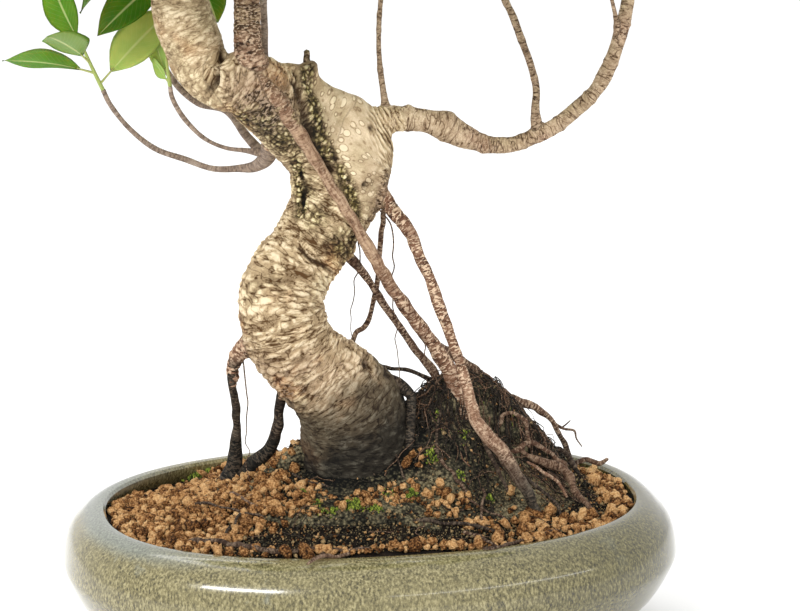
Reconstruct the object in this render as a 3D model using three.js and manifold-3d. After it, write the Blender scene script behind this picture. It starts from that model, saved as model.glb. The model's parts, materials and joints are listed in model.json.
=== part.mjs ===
// A Chinese banyan bonsai (Ficus microcarpa) in a glazed oval pot.
// Millimetres, Z up. The origin is the middle of the pot's flat underside, X runs along the
// pot's long axis and -Y is the front of the tree.
import * as THREE from 'three';
import { mergeVertices } from 'three/addons/utils/BufferGeometryUtils.js';
import Module from 'manifold-3d';

const wasm = await Module();
wasm.setup();

// Pot: an oval drum with a lip rolled inwards, given by the half axes of its mouth.
const MOUTH_HALF_LENGTH = 155;
const MOUTH_HALF_WIDTH = 105;
const POT_HEIGHT = 90;
const POT_FLOOR = 12;
const OVAL_POWER = 2.3;
const OVAL_SEGMENTS = 32;
const OUTER_STEPS = 8;
const INNER_STEPS = 4;
const DRAIN_RADIUS = 7;
const DRAIN_OFFSET = 62;

// Drain mesh: a square slotted plastic plate laid over each drain hole.
const MESH_SIZE = 26;
const MESH_THICKNESS = 1.2;
const MESH_SLOTS = 5;
const MESH_SLOT_STEP = 4.5;
const MESH_SLOT_WIDTH = 2.4;
const MESH_SLOT_LENGTH = 20;

// Soil: its height is one formula, shared by the akadama bed and the dark root ball.
const SOIL_LEVEL = 86;
const SOIL_CROWNING = 3;
const MOUND = { middle: [-14, -4], reach: [85, 70], height: 28 };
const HEAP = { middle: [44, 2], reach: [62, 34], leftReach: 38, height: 50 };
const BALL_MIDDLE = [24, -6];
const BALL_HALF_LENGTH = 96;
const BALL_HALF_WIDTH = 60;
const BALL_BOTTOM = 44;
const BALL_SHOULDER = 78;
const GRAIN_RELIEF = 1.6;
const BED_SHARES = [0.4, 0.54, 0.66, 0.77, 0.86, 0.94, 1];
const BALL_SHARES = [0.16, 0.34, 0.5, 0.66, 0.82, 1];
const BALL_WALL = [[-3, 70], [-20, BALL_BOTTOM]];
const DRAIN_SEGMENTS = 16;

// Clearance between pieces that touch.
const GAP = 0.3;

// Crown: the sprays end on this dome, and their leaves reach past it.
const CROWN_MIDDLE = new THREE.Vector3(-4, 2, 452);
const CROWN_REACH = new THREE.Vector3(182, 128, 150);
const CROWN_SPRAYS = 26;
const CROWN_LOWEST = -0.14;
const CROWN_UNEVENNESS = 0.12;
const ANCHOR_LOWEST = 398;
const ANCHOR_THICKEST = 11;
const SPRAY_LENGTH = 60;
const LEAVES_A_SPRAY = 7;
const FIRST_LEAF = 0.14;
const LAST_LEAF = 0.94;
const GOLDEN_TURN = Math.PI * (3 - Math.sqrt(5));
const QUARTER_TURN = Math.PI / 2;
const UP = new THREE.Vector3(0, 0, 1);
const { lerp } = THREE.MathUtils;

// Twig: the thin brown piece from a limb to a spray.
const TWIG_SIDES = 4;
const TWIG_RADIUS = 1.3;
const TWIG_SAG = 0.06;
const TWIG_RISE = 6;
const TWIG_MARGIN = 0.6;

// Leaf: a glossy pointed oval on a short stalk.
const LEAF_LENGTH = 47;
const LEAF_HALF_WIDTH = 11.5;
const LEAF_HALF_THICKNESS = 0.45;
const LEAF_FOLD = 0.24;
const LEAF_ARCH = 0.2;
const LEAF_WIDEST = 0.33;
const LEAF_TAPER = { share: 0.82, at: 0.7 };
const STALK_LENGTH = 9;
const STALK_RADIUS = 0.65;
const STALK_START = 2;
const LEAF_SIZES = [0.86, 1.08];
const LEAF_FORWARD = [0.55, 0.98];
const LEAF_TRIES = 9;
const LEAF_TRY_TURN = 0.75;
const LEAF_TRY_FORWARD = 0.12;
const LEAF_MARGIN = 0.35;

// Shoot: the green end of a twig, four-sided, with a pointed bud at its tip.
const SHOOT_RADIUS = 1.1;
const SHOOT_TAPER = [1.15, 0.8];
const SHOOT_SAG = 0.03;
const SHOOT_MARGIN = 1;
const BUD_LENGTH = 6;
const SHOOT_GAP = 0.4;

// Routes are lists of [x, y, z, radius], from the root or trunk outwards.
const TRUNK_ROUTE = [
  [-9, 0, 60, 24], [-8, 0, 84, 32], [-8, 0, 107, 33], [-9, -1, 126, 32.5], [-11, -3, 142, 30.5],
  [-22, -6, 160, 28], [-37, -8, 174, 24.4], [-46, -9, 185, 23.8], [-51, -9, 198, 24.6],
  [-53, -8, 210, 24.4], [-47, -5, 226, 23.3], [-37, -1, 238, 21.8], [-28, 3, 251, 22.5],
  [-20, 6, 265, 25], [-14, 8, 282, 26.5], [-12, 9, 299, 25.5], [-14, 9, 312, 17], [-19, 9, 321, 9],
];
const SHOULDER_ROUTE = [
  [-14, 8, 280, 18], [-24, 6, 291, 21.5], [-40, 2, 309, 21], [-58, -3, 326, 20],
  [-73, -6, 337, 17.5], [-82, -7, 342, 13],
];
const LEADER_ROUTE = [
  [-68, 0, 330, 14], [-84, 4, 334, 14.5], [-94, 8, 344, 16], [-99, 11, 358, 16.5],
  [-103, 13, 370, 17], [-105, 14, 385, 16], [-110, 14, 410, 14.5], [-104, 10, 440, 12.5],
  [-84, 6, 470, 10.5], [-56, 4, 497, 9], [-28, 2, 522, 7.5], [-10, 2, 548, 5.5],
  [-4, 3, 572, 3.5], [-4, 4, 590, 2.2],
];
const KNOB_ROUTE = [[-24, 2, 241, 12], [-13, -2, 243, 10]];
const STUB_ROUTE = [[-34, 4, 322, 6], [-35, 4, 336, 3.9], [-34, 4, 344, 3.1], [-35, 4, 350, 1.8]];
const STRUT_ROUTE = [[-44, 2, 306, 8], [-41, -2, 292, 5.6], [-41, -3, 276, 5], [-38, -3, 256, 5.6]];
const ROOT_ROUTES = {
  crossing: [
    [-66, -17, 340, 5], [-54, -22, 326, 4.6], [-44, -20, 310, 3.8], [-33, -17, 292, 3.3],
    [-23, -19, 275, 3], [-12, -18, 256, 3.2], [-3, -17, 240, 3.6], [8, -15, 221, 3.8],
    [20, -12, 203, 3.8], [32, -9, 186, 4], [39, -8, 175, 4.6], [47, -10, 158, 4.2],
    [52, -12, 138, 3.5],
  ],
  right: [
    [-4, 2, 280, 6], [4, 0, 271, 5.5], [11, -5, 262, 4.2], [20, -10, 249, 3.6], [26, -14, 234, 3.2],
    [32, -18, 219, 3.1], [36, -22, 206, 3.1], [41, -26, 192, 3.1], [45, -30, 178, 3.2],
    [49, -35, 163, 3.3], [53, -41, 145, 3.8], [66, -46, 129, 4.2], [74, -50, 116, 3.8],
    [81, -52, 103, 3], [87, -53, 91, 2.5], [92, -54, 80, 2],
  ],
  dark: [
    [-26, 2, 238, 4], [-14, 2, 234, 3.2], [-3, 4, 222, 2.4], [6, 5, 208, 2.3], [17, 6, 191, 2.3],
    [27, 6, 176, 2.3], [36, 5, 165, 2.4], [42, 4, 150, 2.5],
  ],
  hair: [
    [4, 4, 268, 2.4], [10, 13, 258, 1.7], [9, 18, 239, 1.5], [7, 21, 211, 1.5], [1, 20, 189, 1.6],
    [-5, 18, 184, 1.5], [-12, 12, 173, 1.4],
  ],
  low: [
    [-6, 2, 168, 2], [4, 4, 167, 1.3], [16, 8, 165, 1.3], [28, 10, 161, 1.4], [41, 10, 154, 1.5],
  ],
  propLeft: [
    [-62, -6, 189, 7], [-73, -6, 185, 6], [-79, -5, 177, 4], [-80, 0, 162, 2.5],
    [-77, 8, 145, 2.4], [-76, 16, 129, 2.7], [-76, 22, 113, 3.6], [-78, 25, 98, 4.5],
  ],
  propBack: [
    [-42, 0, 163, 4.5], [-49, 2, 159, 3.2], [-52, 6, 146, 3], [-53, 11, 131, 3.3],
    [-57, 15, 118, 3.8], [-68, 19, 106, 4.4], [-79, 22, 88, 3],
  ],
  hugging: [
    [-4, -6, 164, 4], [6, -8, 163, 3.6], [15, -10, 160, 4], [21, -12, 152, 3], [20, -17, 138, 2.9],
    [18, -24, 122, 2.4],
  ],
  outer: [
    [38, -6, 180, 3], [44, -2, 176, 2.9], [62, 3, 162, 2.8], [76, 7, 149, 2.7], [88, 10, 141, 2.5],
    [100, 12, 136, 2.2], [108, 12, 130, 1.8], [113, 10, 121, 1.7], [118, 9, 112, 1.7],
    [123, 8, 100, 1.6], [128, 6, 88, 1.5], [133, 4, 78, 1.3],
  ],
};
const BRANCH_ROUTES = {
  branch_right: [
    [[-10, 9, 304, 10], [-1, 9, 307, 9.6], [12, 9, 310, 7.9], [24, 9, 310, 6.8], [36, 8, 308, 6.8],
      [46, 8, 304, 7.9], [56, 7, 299, 6.8], [67, 6, 295, 5.1], [81, 4, 294, 4.8], [96, 2, 299, 4.6],
      [107, 0, 305, 4.3], [118, -2, 314, 4.3], [129, -4, 325, 4.3], [136, -5, 338, 4.5],
      [141, -5, 351, 4.1], [145, -4, 365, 4], [148, -2, 379, 3.7], [150, -2, 402, 3.4],
      [147, 0, 428, 3.1], [139, 2, 452, 2.8], [129, 4, 474, 2.3]],
    [[141, -5, 352, 2.4], [139, -8, 367, 1.6], [135, -12, 380, 1.5], [130, -22, 402, 1.5],
      [128, -36, 424, 1.4]],
    [[97, 2, 300, 4], [96, 4, 314, 2.7], [97, 6, 325, 2.4], [94, 8, 339, 2.3], [89, 10, 353, 2.3],
      [84, 12, 367, 2.3], [79, 14, 378, 2.3], [75, 19, 400, 2.3], [78, 29, 428, 2.2],
      [84, 42, 456, 2], [83, 54, 484, 1.8]],
    [[12, 9, 308, 3.4], [9, 9, 327, 2], [7, 8, 341, 1.8], [6, 6, 359, 1.7], [7, 3, 381, 1.6],
      [10, -5, 404, 1.6], [20, -16, 430, 1.5], [32, -28, 456, 1.4]],
  ],
  stem_front: [
    [[-64, -9, 336, 9], [-68, -12, 346, 9], [-70, -12, 358, 8], [-70, -10, 371, 7.7],
      [-70, -9, 385, 7.6], [-68, -14, 412, 6.6], [-58, -28, 438, 5.6], [-44, -46, 460, 4.6],
      [-28, -62, 482, 3.4]],
  ],
  shoot_back: [
    [[-52, 6, 328, 3], [-57, 14, 343, 2.3], [-57, 16, 362, 2.1], [-57, 19, 382, 2.1],
      [-54, 28, 406, 2], [-44, 46, 432, 1.8], [-28, 64, 456, 1.6]],
  ],
  branch_low_left: [
    [[-48, 6, 306, 6], [-53, 16, 303, 5.6], [-53.5, 24, 294, 5.2], [-55, 31, 286, 4.8],
      [-61, 36, 280.5, 3.2], [-69, 40, 279, 2.2], [-84, 42, 279, 1.8], [-100, 42, 285, 1.7],
      [-117, 40, 292, 1.6],
      [-132, 36, 305, 1.5], [-143, 32, 320, 1.4], [-146.6, 30.8, 328, 1.3]],
    [[-55, 28, 289, 3], [-66, 30, 291, 1.6], [-78, 30, 293, 1.3], [-90, 28, 299, 1.3],
      [-100, 26, 309, 1.3], [-106, 24, 318, 1.2], [-109, 23.3, 325, 1.2], [-109.7, 23.2, 330, 1.2]],
    [[-55, 29, 287, 4], [-58, 33, 290, 3.2], [-65, 40, 298, 2.6], [-75, 50, 311, 2],
      [-90, 54, 315, 1.9], [-101, 56, 324, 1.8], [-109, 56, 335, 1.8], [-115, 53, 341, 1.9],
      [-120.5, 50, 351, 2], [-119, 49, 360, 1.6], [-114, 47, 374, 1.4], [-108, 45, 388, 1.2]],
    [[-119, 51, 348, 1.8], [-126, 50, 357, 1.6], [-134.7, 48, 368, 1.5], [-141, 46, 380, 1.3]],
  ],
  branch_left: [
    [[-110, 14, 416, 7.5], [-119, 13, 424, 6.6], [-136, 8, 437, 5.2], [-154, 2, 452, 4],
      [-168, -4, 469, 2.6]],
    [[-134, 9, 436, 3.6], [-142, -12, 444, 2.8], [-142, -38, 456, 2.2], [-130, -60, 470, 1.7]],
  ],
  branch_back: [
    [[-98, 10, 448, 6.5], [-94, 24, 457, 5.8], [-88, 46, 471, 4.6], [-78, 68, 488, 3.6],
      [-62, 84, 506, 2.4]],
    [[-90, 40, 468, 3.4], [-108, 56, 474, 2.6], [-124, 66, 484, 1.9]],
  ],
  branch_top: [
    [[-36, 3, 514, 5.6], [-22, -4, 516, 5], [2, -14, 518, 4.2], [28, -20, 526, 3.4],
      [54, -22, 538, 2.6], [76, -18, 552, 2]],
    [[-8, -10, 517, 3.2], [4, 12, 524, 2.6], [22, 34, 534, 2.1], [42, 52, 546, 1.7]],
  ],
};

// What the trunk is joined from, as [route, sides, depth of the lobes].
const TRUNK_LIMBS = [
  [TRUNK_ROUTE, 12, 0.03], [SHOULDER_ROUTE, 10, 0.04], [LEADER_ROUTE, 9, 0.02],
  [KNOB_ROUTE, 8, 0], [STUB_ROUTE, 5, 0], [STRUT_ROUTE, 6, 0],
];
const ROOT_SIDES = 5;
const BRANCH_SIDES = 5;
const THICK_BRANCH = 5;
const THICK_BRANCH_SIDES = 6;

// Sprays at the ends of the lines of branch_low_left, in their order, with each leaf given as
// [place along the shoot, direction, facing, length].
const LOW_SPRAYS = [
  { length: 30,
    leaves: [
      [0.13, [40, 6, 44], [-0.3, -0.8, 0.4], 50], [0.38, [-42, 12, 12], [0, -0.3, 1], 44],
      [0.62, [-22, -34, 25], [-0.2, 0.2, 1], 46], [0.86, [-24, 8, 46], [-0.6, -0.4, 0.5], 42],
    ] },
  { length: 12,
    leaves: [
      [0.15, [-10, 6.7, 12.4], [-0.5, -0.6, -0.3], 15], [0.5, [-9, 15, 20.8], [-0.6, -0.6, 0.2], 23],
      [0.84, [0.6, 11, 9], [-0.9, 0, 0.3], 13],
    ] },
  { length: 32,
    leaves: [
      [0.2, [-44, -14, -30], [-0.3, -0.8, 0.5], 47], [0.42, [-28, 26, 42], [-0.5, -0.4, 0.6], 44],
      [0.72, [24, 17, -51], [-0.1, -0.8, 0.4], 50], [0.9, [4, 28, 48], [0, -0.9, 0.5], 42],
    ] },
  { length: 28,
    leaves: [
      [0.18, [-38, 14, 36], [-0.4, -0.5, 0.8], 46], [0.5, [2, 34, 40], [0, -0.7, 0.7], 43],
      [0.82, [-24, -22, 42], [-0.6, 0.4, 0.6], 42],
    ] },
];

const COLOURS = {
  pot: 0x7f8468,
  drain_mesh: 0x2c2f31,
  akadama_bed: 0xb0693c,
  root_ball: 0x2a211b,
  trunk: 0xb49a74,
  branch: 0x7a5f49,
  spray: 0x4f8a2a,
};

/** The same number between 0 and 1 for the same seed. */
function chance(seed) {
  const wave = Math.sin(seed * 12.9898) * 43758.5453;
  return wave - Math.floor(wave);
}

/** Gives a skin as a solid, turned so that its faces point out. */
function solidFromSkin(places, triangles) {
  let volume = 0;
  const corner = (n) => new THREE.Vector3(places[3 * n], places[3 * n + 1], places[3 * n + 2]);
  for (let i = 0; i < triangles.length; i += 3) {
    const [a, b, c] = [0, 1, 2].map((k) => corner(triangles[i + k]));
    volume += a.dot(b.cross(c));
  }
  const facesOut = volume > 0 ? triangles : [...triangles].reverse();
  const vertProperties = new Float32Array(places);
  const triVerts = new Uint32Array(facesOut);
  return new wasm.Manifold(new wasm.Mesh({ numProp: 3, vertProperties, triVerts }));
}

/** Turns a three.js geometry, placed by a matrix, into a solid. */
function solidFromGeometry(geometry, matrix = new THREE.Matrix4()) {
  const bare = geometry.clone().applyMatrix4(matrix);
  bare.deleteAttribute('normal');
  bare.deleteAttribute('uv');
  const welded = mergeVertices(bare, 1e-4);
  return solidFromSkin(Array.from(welded.attributes.position.array), Array.from(welded.index.array));
}

/** Joins rings with equal counts of points into one closed skin, with a fan over each end. */
function solidFromRings(rings, firstTip, lastTip) {
  const count = rings[0].length;
  const places = rings.flat().flatMap((p) => [p.x, p.y, p.z]);
  const triangles = [];
  for (let i = 0; i + 1 < rings.length; i += 1) {
    for (let j = 0; j < count; j += 1) {
      const next = (j + 1) % count;
      const [a, b] = [i * count + j, i * count + next];
      const [c, d] = [a + count, b + count];
      triangles.push(a, b, d, a, d, c);
    }
  }
  const first = rings.length * count;
  const last = first + 1;
  places.push(firstTip.x, firstTip.y, firstTip.z, lastTip.x, lastTip.y, lastTip.z);
  for (let j = 0; j < count; j += 1) {
    const next = (j + 1) % count;
    triangles.push(first, next, j);
    triangles.push(last, first - count + j, first - count + next);
  }
  return solidFromSkin(places, triangles);
}

/** Points round an oval whose half axes are the mouth's plus an offset. */
function ovalRing(offset, z, middle = [0, 0], size = [MOUTH_HALF_LENGTH, MOUTH_HALF_WIDTH]) {
  const ring = [];
  for (let j = 0; j < OVAL_SEGMENTS; j += 1) {
    const angle = (2 * Math.PI * j) / OVAL_SEGMENTS;
    const [c, s] = [Math.cos(angle), Math.sin(angle)];
    const reach = (Math.abs(c) ** OVAL_POWER + Math.abs(s) ** OVAL_POWER) ** (-1 / OVAL_POWER);
    const x = middle[0] + (size[0] + offset) * c * reach;
    const y = middle[1] + (size[1] + offset) * s * reach;
    ring.push(new THREE.Vector3(x, y, z));
  }
  return ring;
}

function curveOf(route) {
  return new THREE.CatmullRomCurve3(route.map(([x, y, z]) => new THREE.Vector3(x, y, z)));
}

/** A limb along a smooth curve, round or lobed in section. */
function limb(route, sides, { grow = 0, lobes = 0 } = {}) {
  const curve = curveOf(route);
  const last = route.length - 1;
  const rings = [];
  let across = new THREE.Vector3(0.2, -1, 0.1);
  for (let i = 0; i <= last; i += 1) {
    const tangent = curve.getTangent(i / last);
    across = across.addScaledVector(tangent, -across.dot(tangent)).normalize();
    const over = new THREE.Vector3().crossVectors(tangent, across);
    const radius = route[i][3] + grow;
    const middle = curve.getPoint(i / last);
    if (i === 0) middle.addScaledVector(tangent, -grow);
    if (i === last) middle.addScaledVector(tangent, grow);
    const ring = [];
    for (let j = 0; j < sides; j += 1) {
      const angle = (2 * Math.PI * j) / sides;
      const swell = Math.cos(3 * angle + 0.5 * i) + 0.8 * Math.cos(5 * angle - 0.9 * i);
      const reach = radius * (1 + lobes * (swell + 2 * chance(i + 0.5) - 1));
      ring.push(middle.clone()
        .addScaledVector(across, reach * Math.cos(angle))
        .addScaledVector(over, reach * Math.sin(angle)));
    }
    rings.push(ring);
  }
  const firstTip = curve.getPoint(0).addScaledVector(curve.getTangent(0), -grow);
  return solidFromRings(rings, firstTip, curve.getPoint(1).addScaledVector(curve.getTangent(1), grow));
}

/** A smooth bump of height 1 over its middle. */
function bump(x, y, middle, reach) {
  return Math.exp(-(((x - middle[0]) / reach[0]) ** 2) - ((y - middle[1]) / reach[1]) ** 2);
}

/** Height of the soil: a mound under the trunk and a steep heap of roots to its right. */
function soilHeight(x, y) {
  const mound = MOUND.height * bump(x, y, MOUND.middle, MOUND.reach);
  const heapReach = x < HEAP.middle[0] ? [HEAP.leftReach, HEAP.reach[1]] : HEAP.reach;
  const heap = HEAP.height * bump(x, y, HEAP.middle, heapReach);
  return SOIL_LEVEL - SOIL_CROWNING * (x / MOUTH_HALF_LENGTH) ** 2 + mound + heap;
}

/** A soil body: a grainy top over an oval, closed below by the given lower rings. */
function soilBody(shares, lowerRings, middle, size) {
  const rings = shares.map((share, row) => {
    const ring = ovalRing(0, 0, middle, [size[0] * share, size[1] * share]);
    ring.forEach((p, j) => {
      const grain = GRAIN_RELIEF * (2 * chance(row * OVAL_SEGMENTS + j + size[0]) - 1);
      p.z = soilHeight(p.x, p.y) + grain;
    });
    return ring;
  });
  const top = new THREE.Vector3(middle[0], middle[1], soilHeight(...middle));
  const bottom = new THREE.Vector3(middle[0], middle[1], lowerRings[lowerRings.length - 1][0].z);
  return solidFromRings([...rings, ...lowerRings], top, bottom);
}

/** The pot's outside from the middle of its foot up to the lip, as [offset, height]. */
function outerOutline() {
  const outline = new THREE.SplineCurve([
    [-15, 0], [-14, 9], [-5, 20], [10.5, 35], [21, 54], [22.7, 63], [19, 77.5], [9, 87.6],
  ].map(([offset, z]) => new THREE.Vector2(offset, z)));
  return [...outline.getPoints(OUTER_STEPS), new THREE.Vector2(0, POT_HEIGHT)];
}

/** The pot's inside from the lip down to the floor, moved in by an inset. */
function innerOutline(inset) {
  const outline = new THREE.SplineCurve([
    [1.5, 79], [9.5, 68], [10, 55], [-2, 32], [-17, POT_FLOOR],
  ].map(([offset, z]) => new THREE.Vector2(offset - inset, z)));
  return outline.getPoints(INNER_STEPS);
}

function pot() {
  const outline = [...outerOutline(), ...innerOutline(0)];
  const rings = outline.map(({ x, y }) => ovalRing(x, y));
  const floor = new THREE.Vector3(0, 0, POT_FLOOR);
  let solid = solidFromRings(rings, new THREE.Vector3(0, 0, 0), floor);
  const drain = new THREE.CylinderGeometry(DRAIN_RADIUS, DRAIN_RADIUS, 3 * POT_FLOOR, DRAIN_SEGMENTS);
  for (const side of [-1, 1]) {
    const upright = new THREE.Matrix4().makeRotationX(Math.PI / 2).setPosition(side * DRAIN_OFFSET, 0, 0);
    solid = solid.subtract(solidFromGeometry(drain, upright));
  }
  return solid;
}

/** A box given by its middle and size. */
function box(middle, size) {
  return solidFromGeometry(new THREE.BoxGeometry(...size), new THREE.Matrix4().setPosition(...middle));
}

/** One drain mesh, lying on the pot's floor. */
function drainMesh(side) {
  const middle = [side * DRAIN_OFFSET, 0, POT_FLOOR + GAP + MESH_THICKNESS / 2];
  let plate = box(middle, [MESH_SIZE, MESH_SIZE, MESH_THICKNESS]);
  for (let slot = 0; slot < MESH_SLOTS; slot += 1) {
    const shift = (slot - (MESH_SLOTS - 1) / 2) * MESH_SLOT_STEP;
    const [x, y, z] = middle;
    plate = plate.subtract(box([x + shift, y, z], [MESH_SLOT_WIDTH, MESH_SLOT_LENGTH, 3 * MESH_THICKNESS]));
  }
  return plate;
}

/** The room that a drain mesh takes up in the soil above it. */
function meshRoom(side) {
  const width = MESH_SIZE + 2 * GAP;
  return box([side * DRAIN_OFFSET, 0, POT_FLOOR + GAP], [width, width, 2 * (MESH_THICKNESS + GAP)]);
}

/** The dark root ball; with raised set it is a taller cutter for the bed round it. */
function rootBall(grow, raised) {
  const size = [BALL_HALF_LENGTH, BALL_HALF_WIDTH];
  const lower = BALL_WALL.map(([offset, z]) => ovalRing(offset + grow, z - grow, BALL_MIDDLE, size));
  if (!raised) return soilBody(BALL_SHARES, lower, BALL_MIDDLE, size);
  const upper = ovalRing(grow, 2 * POT_HEIGHT, BALL_MIDDLE, size);
  const side = ovalRing(grow, BALL_SHOULDER, BALL_MIDDLE, size);
  const middle = (z) => new THREE.Vector3(BALL_MIDDLE[0], BALL_MIDDLE[1], z);
  return solidFromRings([upper, side, ...lower], middle(2 * POT_HEIGHT), middle(BALL_BOTTOM - grow));
}

/** Akadama granules filling the pot round the root ball. */
function akadamaBed() {
  const lower = innerOutline(GAP).map(({ x, y }) => ovalRing(x, y));
  lower[lower.length - 1].forEach((p) => { p.z += GAP; });
  const mouth = [MOUTH_HALF_LENGTH - GAP, MOUTH_HALF_WIDTH - GAP];
  return soilBody(BED_SHARES, lower, [0, 0], mouth);
}

/** The trunk with its shoulder, leader, stub and every aerial root grown from it. */
function trunkLimbs(grow) {
  const roots = Object.values(ROOT_ROUTES).map((route) => [route, ROOT_SIDES, 0]);
  return [...TRUNK_LIMBS, ...roots].map(([route, sides, lobes]) => limb(route, sides, { grow, lobes }));
}

/** Length of a leaf's stalk, shorter on a young leaf. */
function stalkLength(length) {
  return (STALK_LENGTH * length) / LEAF_LENGTH;
}

/** A leaf's sections from the end of its stalk outwards, each as right, top, left and under. */
function leafSections({ foot, along, face, length }, fat = 0) {
  const stalk = stalkLength(length);
  const side = new THREE.Vector3().crossVectors(face, along).normalize();
  const up = new THREE.Vector3().crossVectors(along, side);
  const halfWidth = (LEAF_HALF_WIDTH * length) / LEAF_LENGTH;
  const arch = (distance) => -LEAF_ARCH * length * (distance / (stalk + length)) ** 2;
  const point = (distance, outwards, upwards) => foot.clone()
    .addScaledVector(along, distance)
    .addScaledVector(side, outwards)
    .addScaledVector(up, upwards + arch(distance));
  const section = (distance, wide, thick, fold) => [
    point(distance, wide + fat, fold * wide),
    point(distance, 0, thick + fat),
    point(distance, -(wide + fat), fold * wide),
    point(distance, 0, -(thick + fat)),
  ];
  const sections = [
    section(stalk, STALK_RADIUS, STALK_RADIUS, 0),
    section(stalk + LEAF_WIDEST * length, halfWidth, LEAF_HALF_THICKNESS, LEAF_FOLD),
    section(stalk + LEAF_TAPER.at * length, LEAF_TAPER.share * halfWidth, LEAF_HALF_THICKNESS, LEAF_FOLD),
  ];
  return { sections, tip: point(stalk + length + fat, 0, 0) };
}

/** Triangles of a leaf's blade, split alike above and below so that the faces never cross. */
function bladeTriangles(first, count) {
  const triangles = [];
  const tip = first + 4 * count;
  for (let row = 0; row < count; row += 1) {
    for (let j = 0; j < 4; j += 1) {
      const a = first + 4 * row + j;
      const b = first + 4 * row + ((j + 1) % 4);
      if (row === count - 1) triangles.push(a, b, tip);
      else if (j % 2 === 0) triangles.push(a, b, a + 4, b, b + 4, a + 4);
      else triangles.push(a, b, b + 4, a, b + 4, a + 4);
    }
  }
  return triangles;
}

/** A leaf by itself, made fatter by a margin, to test where it fits. */
function looseLeaf(growth, fat) {
  const { sections, tip } = leafSections(growth, fat);
  const back = STALK_START - stalkLength(growth.length);
  const start = sections[0].map((p) => p.clone().addScaledVector(growth.along, back));
  const places = [...start, ...sections.flat(), tip].flatMap((p) => [p.x, p.y, p.z]);
  return solidFromSkin(places, [0, 2, 1, 0, 3, 2, ...bladeTriangles(0, sections.length + 1)]);
}

/** A shoot and its leaves in one skin: each leaf grows out of a face of the shoot. */
function leafyShoot(curve, right, over, growths) {
  const halfFoot = SHOOT_RADIUS / curve.getLength();
  const stops = [{ t: 0, turn: growths[0].turn }];
  for (const { t, turn } of growths) stops.push({ t: t - halfFoot, turn }, { t: t + halfFoot, turn });
  stops.push({ t: 1, turn: growths[growths.length - 1].turn });
  const points = [];
  const triangles = [];
  let twist = 0;
  stops.forEach(({ t, turn }) => {
    twist = turn - QUARTER_TURN * Math.round((turn - twist) / QUARTER_TURN);
    const middle = curve.getPoint(t);
    const radius = SHOOT_RADIUS * lerp(...SHOOT_TAPER, t);
    for (let j = 0; j < 4; j += 1) {
      const angle = twist + QUARTER_TURN * (j + 0.5);
      points.push(middle.clone()
        .addScaledVector(right, radius * Math.cos(angle))
        .addScaledVector(over, radius * Math.sin(angle)));
    }
  });
  twist = 0;
  const openFaces = stops.map(({ turn }, i) => {
    twist = turn - QUARTER_TURN * Math.round((turn - twist) / QUARTER_TURN);
    const face = Math.round((turn - twist) / QUARTER_TURN) - 1;
    return i % 2 === 1 && i < stops.length - 1 ? ((face % 4) + 4) % 4 : -1;
  });
  for (let i = 0; i + 1 < stops.length; i += 1) {
    for (let j = 0; j < 4; j += 1) {
      const [a, b] = [4 * i + j, 4 * i + ((j + 1) % 4)];
      if (j !== openFaces[i]) {
        triangles.push(a, b, b + 4, a, b + 4, a + 4);
        continue;
      }
      const hole = [a, b, b + 4, a + 4];
      const { sections, tip } = leafSections(growths[(i - 1) / 2]);
      const first = points.length;
      points.push(...sections.flat(), tip);
      const reach = (shift) => hole.reduce((sum, corner, k) => (
        sum + points[corner].distanceToSquared(points[first + ((k + shift) % 4)])), 0);
      const shift = [0, 1, 2, 3].sort((m, n) => reach(m) - reach(n))[0];
      for (let k = 0; k < 4; k += 1) {
        const [c, d] = [first + ((k + shift) % 4), first + ((k + 1 + shift) % 4)];
        triangles.push(hole[k], hole[(k + 1) % 4], d, hole[k], d, c);
      }
      triangles.push(...bladeTriangles(first, sections.length));
    }
  }
  const end = 4 * (stops.length - 1);
  const bud = points.length;
  points.push(curve.getPoint(1).addScaledVector(curve.getTangent(1), BUD_LENGTH));
  for (let j = 0; j < 4; j += 1) triangles.push(end + j, end + ((j + 1) % 4), bud);
  triangles.push(0, 2, 1, 0, 3, 2);
  return solidFromSkin(points.flatMap((p) => [p.x, p.y, p.z]), triangles);
}

// Everything already placed in the air, which later twigs and leaves must not cross.
const placed = [];

function place(node, solid) {
  placed.push({ node, solid, box: solid.boundingBox() });
}

/** Tells whether a solid crosses anything placed that belongs to another node. */
function crosses(solid, node) {
  const box = solid.boundingBox();
  return placed.some((other) => {
    if (other.node === node) return false;
    const apart = [0, 1, 2].some((k) => box.min[k] > other.box.max[k] || box.max[k] < other.box.min[k]);
    return !apart && !solid.intersect(other.solid).isEmpty();
  });
}

/** The places on a node's limbs that a twig can grow from. */
function anchors(routes) {
  return Object.entries(routes).flatMap(([node, lines]) => lines.flatMap((line) => (
    line.filter(([, , z, radius]) => z > ANCHOR_LOWEST && radius < ANCHOR_THICKEST)
      .map(([x, y, z, radius]) => ({ node, radius, at: new THREE.Vector3(x, y, z) })))));
}

/** Where a spray of the crown ends, and which way it points there. */
function sprayEnd(index) {
  const height = 1 - ((index + 0.5) / CROWN_SPRAYS) * (1 - CROWN_LOWEST);
  const across = Math.sqrt(1 - height * height);
  const turn = index * GOLDEN_TURN;
  const out = new THREE.Vector3(across * Math.cos(turn), across * Math.sin(turn), height);
  const reach = 1 + CROWN_UNEVENNESS * (chance(index + 3) - 0.5);
  const end = out.clone().multiply(CROWN_REACH).multiplyScalar(reach);
  const way = new THREE.Vector3(out.x, out.y, 0.8 * Math.max(out.z, 0) + 0.3).normalize();
  return { end: end.add(CROWN_MIDDLE), way };
}

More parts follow.
